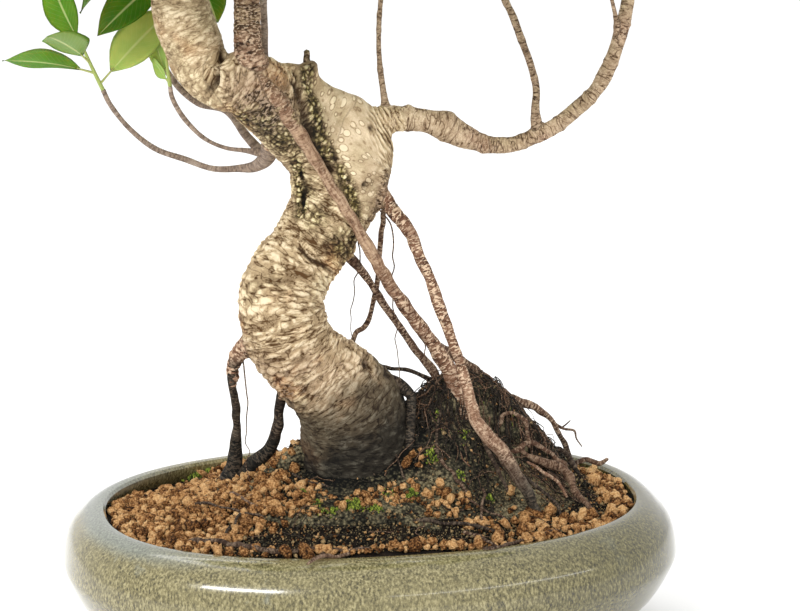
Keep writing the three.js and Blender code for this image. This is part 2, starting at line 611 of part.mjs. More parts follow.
/** The brown twig from the nearest limb to a spray, kept clear of the other limbs. */
function twigTo(start, way, limbs) {
  const cost = ({ at }) => at.distanceTo(start) + 2 * Math.max(0, at.z - start.z + TWIG_RISE);
  const nearest = [...limbs].sort((a, b) => cost(a) - cost(b));
  for (const { node, radius, at } of nearest) {
    const far = at.distanceTo(start);
    const bend = start.clone().addScaledVector(way, -0.3 * far);
    const middle = at.clone().lerp(bend, 0.5);
    middle.z -= TWIG_SAG * far;
    const thick = Math.min(radius * 0.7, TWIG_RADIUS + far / 90);
    const halfThick = (thick + TWIG_RADIUS) / 2;
    const route = [[...at, thick], [...middle, halfThick], [...bend, TWIG_RADIUS], [...start, TWIG_RADIUS]];
    const solid = limb(route, TWIG_SIDES);
    const roomy = limb(route, TWIG_SIDES, { grow: TWIG_MARGIN });
    if (!crosses(roomy, node)) return { node, solid, curve: curveOf(route) };
  }
  throw new Error('no way through for a twig');
}

/** The green shoot that goes on from a twig's end. */
function shootFrom(node, twigCurve, length) {
  const start = twigCurve.getPoint(1);
  const way = twigCurve.getTangent(1);
  const right = new THREE.Vector3().crossVectors(way, UP).normalize();
  const over = new THREE.Vector3().crossVectors(way, right);
  const shootStart = start.clone().addScaledVector(way, SHOOT_GAP);
  const end = start.clone().addScaledVector(way, length);
  const sag = shootStart.clone().lerp(end, 0.5).addScaledVector(UP, -SHOOT_SAG * length);
  const core = [[...shootStart, SHOOT_RADIUS], [...end, SHOOT_RADIUS]];
  place(node, limb(core, TWIG_SIDES, { grow: SHOOT_MARGIN }));
  return { node, way, right, over, curve: new THREE.QuadraticBezierCurve3(shootStart, sag, end) };
}

/** Leaves of a shoot that are given one by one. */
function chosenLeaves({ node, right, over, curve }, leaves) {
  return leaves.map(([t, direction, facing, length]) => {
    const along = new THREE.Vector3(...direction).normalize();
    const turn = Math.atan2(along.dot(over), along.dot(right));
    const face = new THREE.Vector3(...facing);
    const growth = { t, turn, foot: curve.getPoint(t), along, face, length };
    const leaf = looseLeaf(growth, LEAF_MARGIN);
    if (crosses(leaf, node)) throw new Error(`a leaf of ${node} at ${t} crosses something`);
    place(node, leaf);
    return growth;
  });
}

/** Leaves turned round a shoot by the golden angle, each clear of everything placed. */
function spiralLeaves({ node, way, right, over, curve }, leaves, seed) {
  const growths = [];
  const fitted = [];
  for (let k = 0; k < leaves; k += 1) {
    const t = lerp(FIRST_LEAF, LAST_LEAF, k / (leaves - 1));
    const length = LEAF_LENGTH * lerp(...LEAF_SIZES, chance(seed * 31 + k));
    const forward = lerp(...LEAF_FORWARD, k / (leaves - 1));
    for (let attempt = 0; attempt < LEAF_TRIES; attempt += 1) {
      const turn = k * GOLDEN_TURN + seed + attempt * LEAF_TRY_TURN;
      const along = right.clone().multiplyScalar(Math.cos(turn)).addScaledVector(over, Math.sin(turn));
      along.addScaledVector(way, forward + attempt * LEAF_TRY_FORWARD).normalize();
      const face = UP.clone().addScaledVector(way, 0.5);
      const growth = { t, turn, foot: curve.getPoint(t), along, face, length };
      const leaf = looseLeaf(growth, LEAF_MARGIN);
      if (!crosses(leaf, node) && !fitted.some((other) => !leaf.intersect(other).isEmpty())) {
        growths.push(growth);
        fitted.push(looseLeaf(growth, 0));
        break;
      }
    }
  }
  fitted.forEach((solid) => place(node, solid));
  return growths;
}

/** The largest body of a solid, without any loose scrap that a cut left. */
function largest(solid) {
  return solid.decompose().sort((a, b) => b.volume() - a.volume())[0];
}

const trunkSolid = wasm.Manifold.union(trunkLimbs(0));
const trunkRoom = wasm.Manifold.union(trunkLimbs(GAP));
place('trunk', trunkSolid);

const branchParts = {};
for (const [node, routes] of Object.entries(BRANCH_ROUTES)) {
  const limbs = routes.map((route) => (
    limb(route, route[0][3] > THICK_BRANCH ? THICK_BRANCH_SIDES : BRANCH_SIDES)));
  const solid = largest(wasm.Manifold.union(limbs).subtract(trunkRoom));
  branchParts[node] = [solid];
  place(node, solid);
}

const crownAnchors = anchors({ trunk: [LEADER_ROUTE], ...BRANCH_ROUTES });
const twigCurves = [];
const trunkTwigs = [];
for (let index = 0; index < CROWN_SPRAYS; index += 1) {
  const { end, way } = sprayEnd(index);
  const start = end.clone().addScaledVector(way, -SPRAY_LENGTH);
  const twig = twigTo(start, way, crownAnchors);
  place(twig.node, twig.solid);
  (branchParts[twig.node] ?? trunkTwigs).push(twig.solid);
  twigCurves.push(twig.curve);
}

const shoots = [
  ...BRANCH_ROUTES.branch_low_left.map((route, index) => (
    shootFrom(`spray_low_${index + 1}`, curveOf(route), LOW_SPRAYS[index].length))),
  ...twigCurves.map((curve, index) => (
    shootFrom(`spray_${String(index + 1).padStart(2, '0')}`, curve, SPRAY_LENGTH))),
];
const sprays = shoots.map((shoot, index) => {
  const growths = index < LOW_SPRAYS.length
    ? chosenLeaves(shoot, LOW_SPRAYS[index].leaves)
    : spiralLeaves(shoot, LEAVES_A_SPRAY, index + 1);
  return leafyShoot(shoot.curve, shoot.right, shoot.over, growths);
});

const ballSolid = rootBall(0, false).subtract(trunkRoom);
let bedSolid = akadamaBed().subtract(rootBall(GAP, true)).subtract(trunkRoom);
for (const side of [-1, 1]) bedSolid = bedSolid.subtract(meshRoom(side));

/** A named mesh with its own material. */
function namedMesh(name, solid, colour, roughness) {
  const { vertProperties, triVerts } = solid.getMesh();
  const geometry = new THREE.BufferGeometry();
  geometry.setAttribute('position', new THREE.BufferAttribute(new Float32Array(vertProperties), 3));
  geometry.setIndex(new THREE.BufferAttribute(new Uint32Array(triVerts), 1));
  geometry.computeVertexNormals();
  const material = new THREE.MeshStandardMaterial({ color: colour, roughness, metalness: 0 });
  const mesh = new THREE.Mesh(geometry, material);
  mesh.name = name;
  return mesh;
}

const tree = new THREE.Group();
tree.add(namedMesh('pot', pot(), COLOURS.pot, 0.25));
tree.add(namedMesh('drain_mesh_left', drainMesh(-1), COLOURS.drain_mesh, 0.6));
tree.add(namedMesh('drain_mesh_right', drainMesh(1), COLOURS.drain_mesh, 0.6));
tree.add(namedMesh('akadama_bed', largest(bedSolid), COLOURS.akadama_bed, 0.95));
tree.add(namedMesh('root_ball', largest(ballSolid), COLOURS.root_ball, 0.95));
tree.add(namedMesh('trunk', wasm.Manifold.union([trunkSolid, ...trunkTwigs]), COLOURS.trunk, 0.85));
for (const [node, parts] of Object.entries(branchParts)) {
  tree.add(namedMesh(node, wasm.Manifold.union(parts), COLOURS.branch, 0.85));
}
sprays.forEach((solid, index) => {
  tree.add(namedMesh(shoots[index].node, solid, COLOURS.spray, 0.4));
});

export default tree;
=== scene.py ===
"""A Chinese banyan bonsai in its glazed pot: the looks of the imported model.

Places are worked out in millimetres and stored in metres. X runs along the pot, -Y is the front.
"""
import functools
import itertools
import json
import math
from collections import defaultdict

import bpy
import numpy as np
from bpy.props import FloatProperty, FloatVectorProperty, IntProperty, PointerProperty
from bpy.types import Operator, Panel, PropertyGroup
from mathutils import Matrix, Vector

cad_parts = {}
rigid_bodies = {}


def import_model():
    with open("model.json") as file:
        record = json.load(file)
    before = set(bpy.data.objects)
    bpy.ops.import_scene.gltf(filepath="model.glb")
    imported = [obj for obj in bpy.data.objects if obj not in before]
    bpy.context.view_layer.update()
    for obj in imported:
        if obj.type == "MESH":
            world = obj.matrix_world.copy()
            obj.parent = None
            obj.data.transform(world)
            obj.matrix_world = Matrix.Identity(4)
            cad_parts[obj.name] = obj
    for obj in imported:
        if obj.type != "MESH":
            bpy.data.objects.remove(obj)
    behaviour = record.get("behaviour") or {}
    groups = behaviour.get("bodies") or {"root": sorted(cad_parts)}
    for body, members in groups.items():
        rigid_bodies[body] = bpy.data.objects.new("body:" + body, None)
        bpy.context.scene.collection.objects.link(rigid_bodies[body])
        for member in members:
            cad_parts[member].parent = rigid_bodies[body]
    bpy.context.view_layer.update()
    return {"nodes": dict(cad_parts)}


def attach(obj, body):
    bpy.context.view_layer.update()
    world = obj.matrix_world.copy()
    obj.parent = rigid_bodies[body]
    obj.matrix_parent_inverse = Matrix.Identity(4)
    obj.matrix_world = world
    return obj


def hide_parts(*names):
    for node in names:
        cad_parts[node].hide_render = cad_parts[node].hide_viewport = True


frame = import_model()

bl_info = {
    "name": "Chinese banyan bonsai",
    "version": (1, 0, 0),
    "blender": (4, 5, 0),
    "location": "3D View > Sidebar > Bonsai",
    "description": "Builds a banyan bonsai with its bark, roots, leaves, soil and pot",
    "category": "Object",
}

MM = 0.001
GOLDEN_TURN = math.pi * (3 - math.sqrt(5))
UP = np.array([0.0, 0.0, 1.0])

# Heights at which the trunk's mesh is parted into three pieces.
PARTED_AT = (236.0, 400.0)

# Pot: half axes of the oval mouth, and outlines as [offset from it, height].
MOUTH = np.array([155.0, 105.0])
OVAL_POWER = 2.3
POT_FLOOR = 12.0
OUTER_OUTLINE = [[-15, 0], [-14, 9], [-5, 20], [10.5, 35], [21, 54], [22.7, 63], [19, 77.5], [9, 87.6]]
INNER_OUTLINE = [[1.5, 79], [9.5, 68], [10, 55], [-2, 32], [-17, POT_FLOOR]]
DRAIN_PLACES = (-62.0, 62.0)
DRAIN_RADIUS = 7.0

# Root ball: the middle and half axes of the dark soil.
BALL_MIDDLE = np.array([24.0, -6.0])
BALL = np.array([96.0, 60.0])
BALL_BOTTOM = 44.0

# The trunk's foot on the soil.
FOOT_X = -8.0
FOOT_RADIUS = 32.0

# Limbs are lists of [x, y, z, radius], from the root or trunk outwards.
TRUNK = [
    [-9, 0, 60, 24], [-8, 0, 84, 32], [-8, 0, 107, 33], [-9, -1, 126, 32.5], [-11, -3, 142, 30.5],
    [-22, -6, 160, 28], [-37, -8, 174, 24.4], [-46, -9, 185, 23.8], [-51, -9, 198, 24.6],
    [-53, -8, 210, 24.4], [-47, -5, 226, 23.3], [-37, -1, 238, 21.8], [-28, 3, 251, 22.5],
    [-20, 6, 265, 25], [-14, 8, 282, 26.5], [-12, 9, 299, 25.5], [-14, 9, 312, 17], [-19, 9, 321, 9],
]
SHOULDER = [
    [-14, 8, 280, 18], [-24, 6, 291, 21.5], [-40, 2, 309, 21], [-58, -3, 326, 20],
    [-73, -6, 337, 17.5], [-82, -7, 342, 13],
]
LEADER = [
    [-68, 0, 330, 14], [-84, 4, 334, 14.5], [-94, 8, 344, 16], [-99, 11, 358, 16.5],
    [-103, 13, 370, 17], [-105, 14, 385, 16], [-110, 14, 410, 14.5], [-104, 10, 440, 12.5],
    [-84, 6, 470, 10.5], [-56, 4, 497, 9], [-28, 2, 522, 7.5], [-10, 2, 548, 5.5],
    [-4, 3, 572, 3.5], [-4, 4, 590, 2.2],
]
FRONT_STEM = [
    [-64, -9, 336, 9], [-68, -12, 346, 9], [-70, -12, 358, 8], [-70, -10, 371, 7.7],
    [-70, -9, 385, 7.6], [-68, -14, 412, 6.6], [-58, -28, 438, 5.6], [-44, -46, 460, 4.6],
    [-28, -62, 482, 3.4],
]
KNOB = [[-24, 2, 241, 12], [-13, -2, 243, 10]]
STUB = [[-34, 4, 322, 6], [-35, 4, 336, 3.9], [-34, 4, 344, 3.1], [-35, 4, 350, 1.8]]
STRUT = [[-44, 2, 306, 8], [-41, -2, 292, 5.6], [-41, -3, 276, 5], [-38, -3, 256, 5.6]]
AERIAL_ROOTS = {
    "crossing": [
        [-66, -17, 340, 5], [-54, -22, 326, 4.6], [-44, -20, 310, 3.8], [-33, -17, 292, 3.3],
        [-23, -19, 275, 3], [-12, -18, 256, 3.2], [-3, -17, 240, 3.6], [8, -15, 221, 3.8],
        [20, -12, 203, 3.8], [32, -9, 186, 4], [39, -8, 175, 4.6], [47, -10, 158, 4.2],
        [52, -12, 138, 3.5],
    ],
    "right": [
        [-4, 2, 280, 6], [4, 0, 271, 5.5], [11, -5, 262, 4.2], [20, -10, 249, 3.6], [26, -14, 234, 3.2],
        [32, -18, 219, 3.1], [36, -22, 206, 3.1], [41, -26, 192, 3.1], [45, -30, 178, 3.2],
        [49, -35, 163, 3.3], [53, -41, 145, 3.8], [66, -46, 129, 4.2], [74, -50, 116, 3.8],
        [81, -52, 103, 3], [87, -53, 91, 2.5], [92, -54, 80, 2],
    ],
    "dark": [
        [-26, 2, 238, 4], [-14, 2, 234, 3.2], [-3, 4, 222, 2.4], [6, 5, 208, 2.3], [17, 6, 191, 2.3],
        [27, 6, 176, 2.3], [36, 5, 165, 2.4], [42, 4, 150, 2.5],
    ],
    "hair": [
        [4, 4, 268, 2.4], [10, 13, 258, 1.7], [9, 18, 239, 1.5], [7, 21, 211, 1.5], [1, 20, 189, 1.6],
        [-5, 18, 184, 1.5], [-12, 12, 173, 1.4],
    ],
    "low": [
        [-6, 2, 168, 2], [4, 4, 167, 1.3], [16, 8, 165, 1.3], [28, 10, 161, 1.4], [41, 10, 154, 1.5],
    ],
    "prop_left": [
        [-62, -6, 189, 7], [-73, -6, 185, 6], [-79, -5, 177, 4], [-80, 0, 162, 2.5],
        [-77, 8, 145, 2.3], [-76, 16, 129, 2.7], [-76, 22, 113, 4.4], [-78, 25, 98, 6.8],
    ],
    "prop_back": [
        [-42, 0, 163, 4.5], [-49, 2, 159, 3.2], [-52, 6, 146, 3], [-53, 11, 131, 3.3],
        [-57, 15, 118, 3.8], [-68, 19, 106, 4.4], [-79, 22, 88, 3],
    ],
    "hugging": [
        [-4, -6, 164, 4], [6, -8, 163, 3.6], [15, -10, 160, 4], [21, -12, 152, 3], [20, -17, 138, 2.9],
        [18, -24, 122, 2.4],
    ],
    "outer": [
        [38, -6, 180, 3], [44, -2, 176, 2.9], [62, 3, 162, 2.8], [76, 7, 149, 2.7], [88, 10, 141, 2.5],
        [100, 12, 136, 2.2], [108, 12, 130, 1.8], [113, 10, 121, 1.7], [118, 9, 112, 1.7],
        [123, 8, 100, 1.6], [128, 6, 88, 1.5], [133, 4, 78, 1.3],
    ],
}
# How black the roots are that are not clean.
SOOTY_ROOTS = {
    "dark": 0.5, "hair": 0.5, "low": 0.9, "hugging": 0.97, "outer": 0.5, "prop_back": 0.93,
    "prop_left": 0.94,
}
RIGHT_BRANCH = [
    [[-10, 9, 304, 10], [-1, 9, 307, 9.6], [12, 9, 310, 7.9], [24, 9, 310, 6.8], [36, 8, 308, 6.8],
     [46, 8, 304, 7.9], [56, 7, 299, 6.8], [67, 6, 295, 5.1], [81, 4, 294, 4.8], [96, 2, 299, 4.6],
     [107, 0, 305, 4.3], [118, -2, 314, 4.3], [129, -4, 325, 4.3], [136, -5, 338, 4.5],
     [141, -5, 351, 4.1], [145, -4, 365, 4], [148, -2, 379, 3.7], [150, -2, 402, 3.4],
     [147, 0, 428, 3.1], [139, 2, 452, 2.8], [129, 4, 474, 2.3]],
    [[141, -5, 352, 2.4], [139, -8, 367, 1.6], [135, -12, 380, 1.5], [130, -22, 402, 1.5],
     [128, -36, 424, 1.4]],
    [[97, 2, 300, 4], [96, 4, 314, 2.7], [97, 6, 325, 2.4], [94, 8, 339, 2.3], [89, 10, 353, 2.3],
     [84, 12, 367, 2.3], [79, 14, 378, 2.3], [75, 19, 400, 2.3], [78, 29, 428, 2.2],
     [84, 42, 456, 2], [83, 54, 484, 1.8]],
    [[12, 9, 308, 3.4], [9, 9, 327, 2], [7, 8, 341, 1.8], [6, 6, 359, 1.7], [7, 3, 381, 1.6],
     [10, -5, 404, 1.6], [20, -16, 430, 1.5], [32, -28, 456, 1.4]],
]
BACK_SHOOT = [
    [[-52, 6, 328, 3], [-57, 14, 343, 2.3], [-57, 16, 362, 2.1], [-57, 19, 382, 2.1],
     [-54, 28, 406, 2], [-44, 46, 432, 1.8], [-28, 64, 456, 1.6]],
]
LOW_BRANCH = [
    [[-48, 6, 306, 6], [-53, 16, 303, 5.6], [-53.5, 24, 294, 5.2], [-55, 31, 286, 4.8],
     [-61, 36, 280.5, 3.2], [-69, 40, 279, 2.2], [-84, 42, 279, 1.8], [-100, 42, 285, 1.7],
     [-117, 40, 292, 1.6],
     [-132, 36, 305, 1.5], [-143, 32, 320, 1.4], [-146.6, 30.8, 328, 1.3]],
    [[-55, 28, 289, 3], [-66, 30, 291, 1.6], [-78, 30, 293, 1.3], [-90, 28, 299, 1.3],
     [-100, 26, 309, 1.3], [-106, 24, 318, 1.2], [-109, 23.3, 325, 1.2], [-109.7, 23.2, 330, 1.2]],
    [[-55, 29, 287, 4], [-58, 33, 290, 3.2], [-65, 40, 298, 2.6], [-75, 50, 311, 2],
     [-90, 54, 315, 1.9], [-101, 56, 324, 1.8], [-109, 56, 335, 1.8], [-115, 53, 341, 1.9],
     [-120.5, 50, 351, 2], [-119, 49, 360, 1.6], [-114, 47, 374, 1.4], [-108, 45, 388, 1.2]],
    [[-119, 51, 348, 1.8], [-126, 50, 357, 1.6], [-134.7, 48, 368, 1.5], [-141, 46, 380, 1.3]],
]
UPPER_BRANCHES = {
    "branch_left": [
        [[-110, 14, 416, 7.5], [-119, 13, 424, 6.6], [-136, 8, 437, 5.2], [-154, 2, 452, 4],
         [-168, -4, 469, 2.6]],
        [[-134, 9, 436, 3.6], [-142, -12, 444, 2.8], [-142, -38, 456, 2.2], [-130, -60, 470, 1.7]],
    ],
    "branch_back": [
        [[-98, 10, 448, 6.5], [-94, 24, 457, 5.8], [-88, 46, 471, 4.6], [-78, 68, 488, 3.6],
         [-62, 84, 506, 2.4]],
        [[-90, 40, 468, 3.4], [-108, 56, 474, 2.6], [-124, 66, 484, 1.9]],
    ],
    "branch_top": [
        [[-36, 3, 514, 5.6], [-22, -4, 516, 5], [2, -14, 518, 4.2], [28, -20, 526, 3.4],
         [54, -22, 538, 2.6], [76, -18, 552, 2]],
        [[-8, -10, 517, 3.2], [4, 12, 524, 2.6], [22, 34, 534, 2.1], [42, 52, 546, 1.7]],
    ],
}

# Crown: the sprays end on this dome, and twigs grow from points above the lowest height.
CROWN_MIDDLE = np.array([-4.0, 2.0, 452.0])
CROWN_REACH = np.array([182.0, 128.0, 150.0])
CROWN_SPRAYS = 26
CROWN_LOWEST = -0.14
CROWN_TOP = 606.0
LOWEST_TWIG = 398.0
THICKEST_BRANCH = 11.0
SPRAY_LENGTH = 60.0
LOW_SPRAY_LENGTHS = (30.0, 12.0, 32.0, 28.0)
TWIG_RADIUS = 1.3
SHOOT_RADIUS = 1.1
LEAF_LENGTH = 47.0
LEAF_HALF_WIDTH = 11.5
STALK_LENGTH = 9.0
MIDDLE_OF_LEAF = 0.62
# Rows and columns of a blade near the camera and of one in the crown.
FINE_BLADE = (14, 8)
COARSE_BLADE = (7, 4)
# Extra leaves: places tried for each, and how far apart their middles stay.
LEAF_TRIES = 8
LEAF_GAP = 8.5
# The bud at a shoot's end as [distance ahead, radius].
BUD = [[1.5, 1.05], [3.4, 0.75], [5.4, 0.25]]
# The part's blades: chord for each length of blade, slope of the chord and drop at the root.
CHORD_SHARE = 1.0188
CHORD_SLOPE = 0.19483
ROOT_DROP = 0.02583

# The view: turn and rise in degrees, distance and the place looked at in metres, lens in millimetres.
VIEW_TURN = -10.7
VIEW_RISE = 13.53
VIEW_DISTANCE = 1.6
VIEW_PLACE = (0.017, 0, 0.2038)
VIEW_LENS = 126.05
# Lamps as place, size and power; all point at one place.
LAMP_AIM = (0, 0, 0.18)
LAMPS = {
    "key": [(-1.1, -1.5, 1.6), (1.1, 0.3), 24],
    "fill": [(1.2, -1.7, 0.9), (2.2, 0.09), 3.5],
    "top": [(-0.2, 0.5, 1.9), (1.2, 1.2), 15],
}

# Marks on the trunk: pits and bulges as [x, y, z, radius, height], grooves as [width, depth, points].
TRUNK_MARKS = [
    [-6, -22, 176, 3.5, -2.8], [-6, -18, 278, 1.9, -2.0], [-51, -6, 257, 2.6, 1.8],
    [-51, -14, 154, 3.0, -2.2], [-23, -16, 293.5, 4.2, 1.9], [-23, -17, 293.5, 1.7, -1.5],
    [-76, -14, 322, 3.2, 1.8], [-20, -17, 244, 4.5, 1.6], [-13, -5, 236, 5.0, 1.2],
    [-2, -9, 308.5, 3.4, 1.8], [-2, -10, 308.5, 1.7, -1.6], [7, -16, 168, 2.4, -1.8],
    [-60, -21, 317, 4.0, 1.0], [8, 4, 292, 4.0, 1.2], [-62, -26, 205, 4.0, 0.9],
]
TRUNK_GROOVES = [
    [2.6, 2.2, [[-45, -14, 336], [-44, -16, 330], [-41, -17, 321], [-38, -20, 308], [-33, -19, 296],
     [-26, -16, 287]]],
    [1.7, 3.6, [[-81, 2, 356], [-83, -3, 350], [-87, -10, 341], [-89, -11, 336], [-94, -9, 331]]],
    [1.1, 1.3, [[-44, -22, 245], [-39, -24, 239], [-32, -23, 235], [-25, -18, 229], [-18, -14, 223]]],
    [1.2, 1.8, [[-40, -6, 294], [-41, -8, 285], [-39, -9, 277], [-40, -9, 268], [-38, -10, 258],
     [-36, -10, 250]]],
    [1.0, 2.8, [[-44, 0, 350], [-44, -6, 342], [-43, -11, 334], [-42, -14, 328]]],
    [1.0, 2.2, [[-39, -3, 340], [-39, -8, 332], [-41, -16, 327], [-42, -18, 321], [-42, -20, 316]]],
    [0.9, 1.4, [[-51, -4, 346], [-49, -9, 339], [-47, -14, 330]]],
]
# Mossy and rusty places as [x, y, z, reach], dusky ones with a share too, strips as [width, points]. Most
# dusky places are painted shade, under the shoulder and in pits.
MOSSY_PLACES = [
    [-52, -18, 306, 18], [-35, -19, 262, 9], [-22, -16, 244, 10], [-64, -20, 312, 16],
    [-14, -12, 240, 11], [-41, -10, 275, 9], [-56, -20, 225, 7], [-14, -12, 234, 9], [-12, -14, 248, 8],
    [-72, -14, 318, 12], [-20, -13, 248, 9],
]
DUSKY_PLACES = [
    [-60, -20, 316, 15, 0.4], [-66, -20, 332, 15, 0.32], [-32, 0, 347, 5.5, 0.6],
    [-33, -17, 312, 9, 0.25], [-51, -14, 154, 5, 0.5], [-6, -22, 176, 4.5, 0.6],
    [-78, -6, 336, 9, 0.35], [-62, -22, 322, 9, 0.42], [-70, -16, 372, 22, 0.16],
    [-14, -30, 150, 26, 0.12],
]
MOSSY_STRIPS = [
    [6.0, [[-35, -3, 341], [-35, -10, 334], [-34, -14, 324], [-32, -18, 311], [-30, -19, 304],
     [-27, -18, 296]]],
    [4.5, [[-25, -20, 297], [-20, -19, 286], [-14, -18, 272], [-10, -18, 258], [-8, -16, 246]]],
    [5.0, [[-43, -9, 300], [-43, -10, 282], [-41, -10, 262]]],
]
RUSTY_PLACES = [
    [-33, 1, 347, 8], [-68, -16, 334, 14], [-58, -20, 324, 13], [-52, -22, 320, 7], [8, -4, 268, 12],
    [-78, -8, 184, 8], [-44, -4, 162, 8], [-44, -22, 178, 12],
]

# On the right branch, seen from the front: knots as [x, z, radius, height], rust as [x, z, reach].
BRANCH_KNOTS = [[46, 311, 5.0, 1.8], [24, 317, 3.0, 1.0], [67, 290, 3.0, 0.8], [96, 303, 4.0, 0.9]]
RUSTY_KNOTS = [[66, 296, 8], [60, 300, 6], [143, 360, 9], [100, 298, 5]]

# Roots over the soil as [x, y, height above the soil] with a radius at each end.
SURFACE_ROOTS = [
    [1.4, 0.8, [[104, -16, 3], [99, -16, 2], [105, -22, 2], [109, -28, 1], [116, -36, 1]]],
    [2.2, 1.4, [[-112, -58, 0], [-99, -67, 1.4], [-86, -77, 1.6], [-69, -90, 1.4], [-56, -94, 1.6],
     [-44, -96, 1.4], [-31, -97, 1.2], [-18, -96, 0]]],
    [1.5, 0.9, [[-30, -100, 0.4], [-36, -104, 1.6], [-48, -108, 3.4], [-55, -113, 3.0]]],
    [1.6, 1.0, [[38, -80, 0], [46, -87, 1.6], [48, -93, 1.6], [52, -100, 1.6]]],
    [1.8, 1.0, [[44, -104, 1.6], [51, -103, 2], [60, -97, 1.6], [70, -92, 1.4], [80, -84, 1.2],
     [88, -76, 1], [95, -73, 0]]],
    [1.7, 1.1, [[8, -70, 0], [15, -72, 1.4], [32, -73, 1.4], [49, -75, 1], [58, -78, 0]]],
    [1.0, 0.7, [[-108, -10, 1], [-104, -12, 3], [-92, -28, 3], [-82, -39, 2], [-69, -51, 1]]],
    [1.2, 0.8, [[-86, -10, 1], [-83, -17, 3], [-75, -33, 2], [-64, -50, 1.5], [-60, -60, 1]]],
    [1.2, 0.9, [[-93, -66, 1], [-92, -62, 3], [-87, -53, 3], [-82, -44, 3]]],
    [1.0, 0.6, [[9, -23, 5], [10, -28, 3], [11, -33, 2], [13, -40, 0]]],
    [1.0, 0.7, [[56, -46, 4], [53, -56, 3], [51, -67, 2], [50, -74, 0]]],
    [0.9, 0.6, [[-48, -14, 2], [-40, -28, 1.4], [-30, -36, 0.6], [-22, -40, 0]]],
    [1.4, 0.8, [[34, -34, 3], [44, -44, 2], [52, -56, 1], [66, -62, 0]]],
]
# Roots of the fan at the right as [soil on it, [[x, y, z, radius], ...]].
FAN_ROOTS = [
    [0.6, [[97, 12, 137, 1.5], [104, 12, 132, 1.3], [110, 13, 128, 1.0], [116, 13, 122, 0.8],
     [123, 12, 120, 0.6], [126, 11, 114, 0.5], [128, 10, 111, 0.3]]],
    [0.7, [[116, 13, 122, 0.5], [119, 12, 124, 0.4], [121, 11, 127, 0.3]]],
    [0.85, [[72, 0, 148, 1.7], [81, 0, 143, 2.0], [89, 0, 138, 1.9], [93, 0, 130, 1.8],
     [100, 0, 122, 1.7], [107, 0, 114, 1.6], [115, 0, 111, 1.5], [121, -2, 102, 1.3]]],
    [0.45, [[70, -12, 126, 1.4], [73, -14, 135, 1.4], [76, -15, 141, 1.4], [82, -16, 141, 1.4],
     [86, -17, 136, 1.4], [88, -18, 129, 1.3], [89, -18, 121, 1.1]]],
    [0.4, [[78, -19, 119, 1.1], [81, -20, 121, 1.3], [92, -18, 123, 1.4], [101, -16, 117, 1.4],
     [108, -15, 111, 1.3], [113, -14, 104, 1.1]]],
    [0.2, [[84, -20, 120, 1.6], [88, -20, 117, 2.0], [96, -21, 113, 2.4], [105, -21, 110, 2.5],
     [111, -24, 105, 2.4], [113, -30, 99, 2.2], [116, -36, 94, 2.0], [119, -42, 91, 1.8],
     [123, -46, 87, 1.4]]],
    [0.1, [[86, -28, 115, 0.9], [90, -30, 112, 1.0], [98, -32, 107, 1.0], [104, -35, 102, 0.9],
     [107, -38, 96, 0.7]]],
    [0.9, [[80, -46, 112, 1.0], [84, -46, 108, 1.0], [92, -48, 102, 1.0], [99, -52, 94, 0.9],
     [100, -56, 87, 0.8]]],
    [0.5, [[118, 13, 95, 1.6], [122, 14, 98, 1.8], [127, 15, 100, 1.7], [133, 16, 101, 1.6],
     [138, 17, 98, 1.6], [146, 18, 100, 1.5]]],
    [0.85, [[66, 8, 150, 1.6], [78, 10, 138, 1.7], [90, 14, 124, 1.5], [102, 18, 108, 1.4],
     [112, 24, 92, 1.1]]],
    [0.8, [[60, 14, 148, 1.6], [66, 24, 132, 1.5], [70, 36, 112, 1.4], [72, 48, 96, 1.1]]],
    [0.9, [[46, 14, 150, 1.6], [44, 26, 136, 1.6], [40, 40, 116, 1.4], [36, 54, 98, 1.1]]],
    [0.85, [[40, -8, 148, 1.5], [36, -18, 140, 1.4], [33, -28, 126, 1.2], [32, -38, 110, 0.9]]],
    [0.8, [[56, -12, 146, 1.3], [60, -22, 132, 1.3], [66, -32, 116, 1.1], [72, -42, 102, 0.9]]],
]
# Black soil heaped round the roots, as limbs.
PEAT = [
    [[34, 0, 138, 13], [49, 0, 147, 15], [60, 0, 145, 15], [70, 0, 137, 14], [79, 0, 128, 13],
     [88, 0, 119, 13], [97, 0, 110, 12], [106, 0, 101, 10], [114, 0, 94, 8]],
    [[-24, 0, 120, 9], [-36, 0, 119, 8], [-43, 1, 115, 7.5], [-51, 3, 108, 6.5], [-60, 7, 101, 6]],
    [[-70, -46, 96, 4], [-56, -57, 95.5, 6], [-40, -62, 95.5, 6.5], [-23, -63, 96.5, 6.5],
     [-7, -65, 96, 6], [10, -68, 94, 5.5], [26, -74, 90, 5]],
    [[-30, -26, 104, 6], [-12, -32, 106, 6], [8, -30, 108, 7], [20, -22, 114, 8]],
]
# Fine roots in all, and how many of them lie on the heap.
FIBRES = 760
HEAP_FIBRES = 620
# Fine hairs that hang from the trunk, as [x, y, z].
HAIRS = [
    [[-2, 12, 262], [-6, 14, 219], [-8, 15, 205], [-9, 15, 187], [-4, 12, 176]],
    [[4, 0, 264], [12, 4, 250], [13, 3, 228], [13, 2, 207], [15, 0, 189], [16, -4, 168], [20, -8, 150]],
    [[-76, -8, 182], [-74, -9, 168], [-73, -8, 155], [-73, -6, 136], [-72, -4, 118], [-71, -4, 104]],
    [[20, -10, 200], [26, -12, 188], [30, -15, 172], [36, -18, 160]],
    [[-20, -4, 312], [-8, -6, 300], [-6, -10, 290]],
]

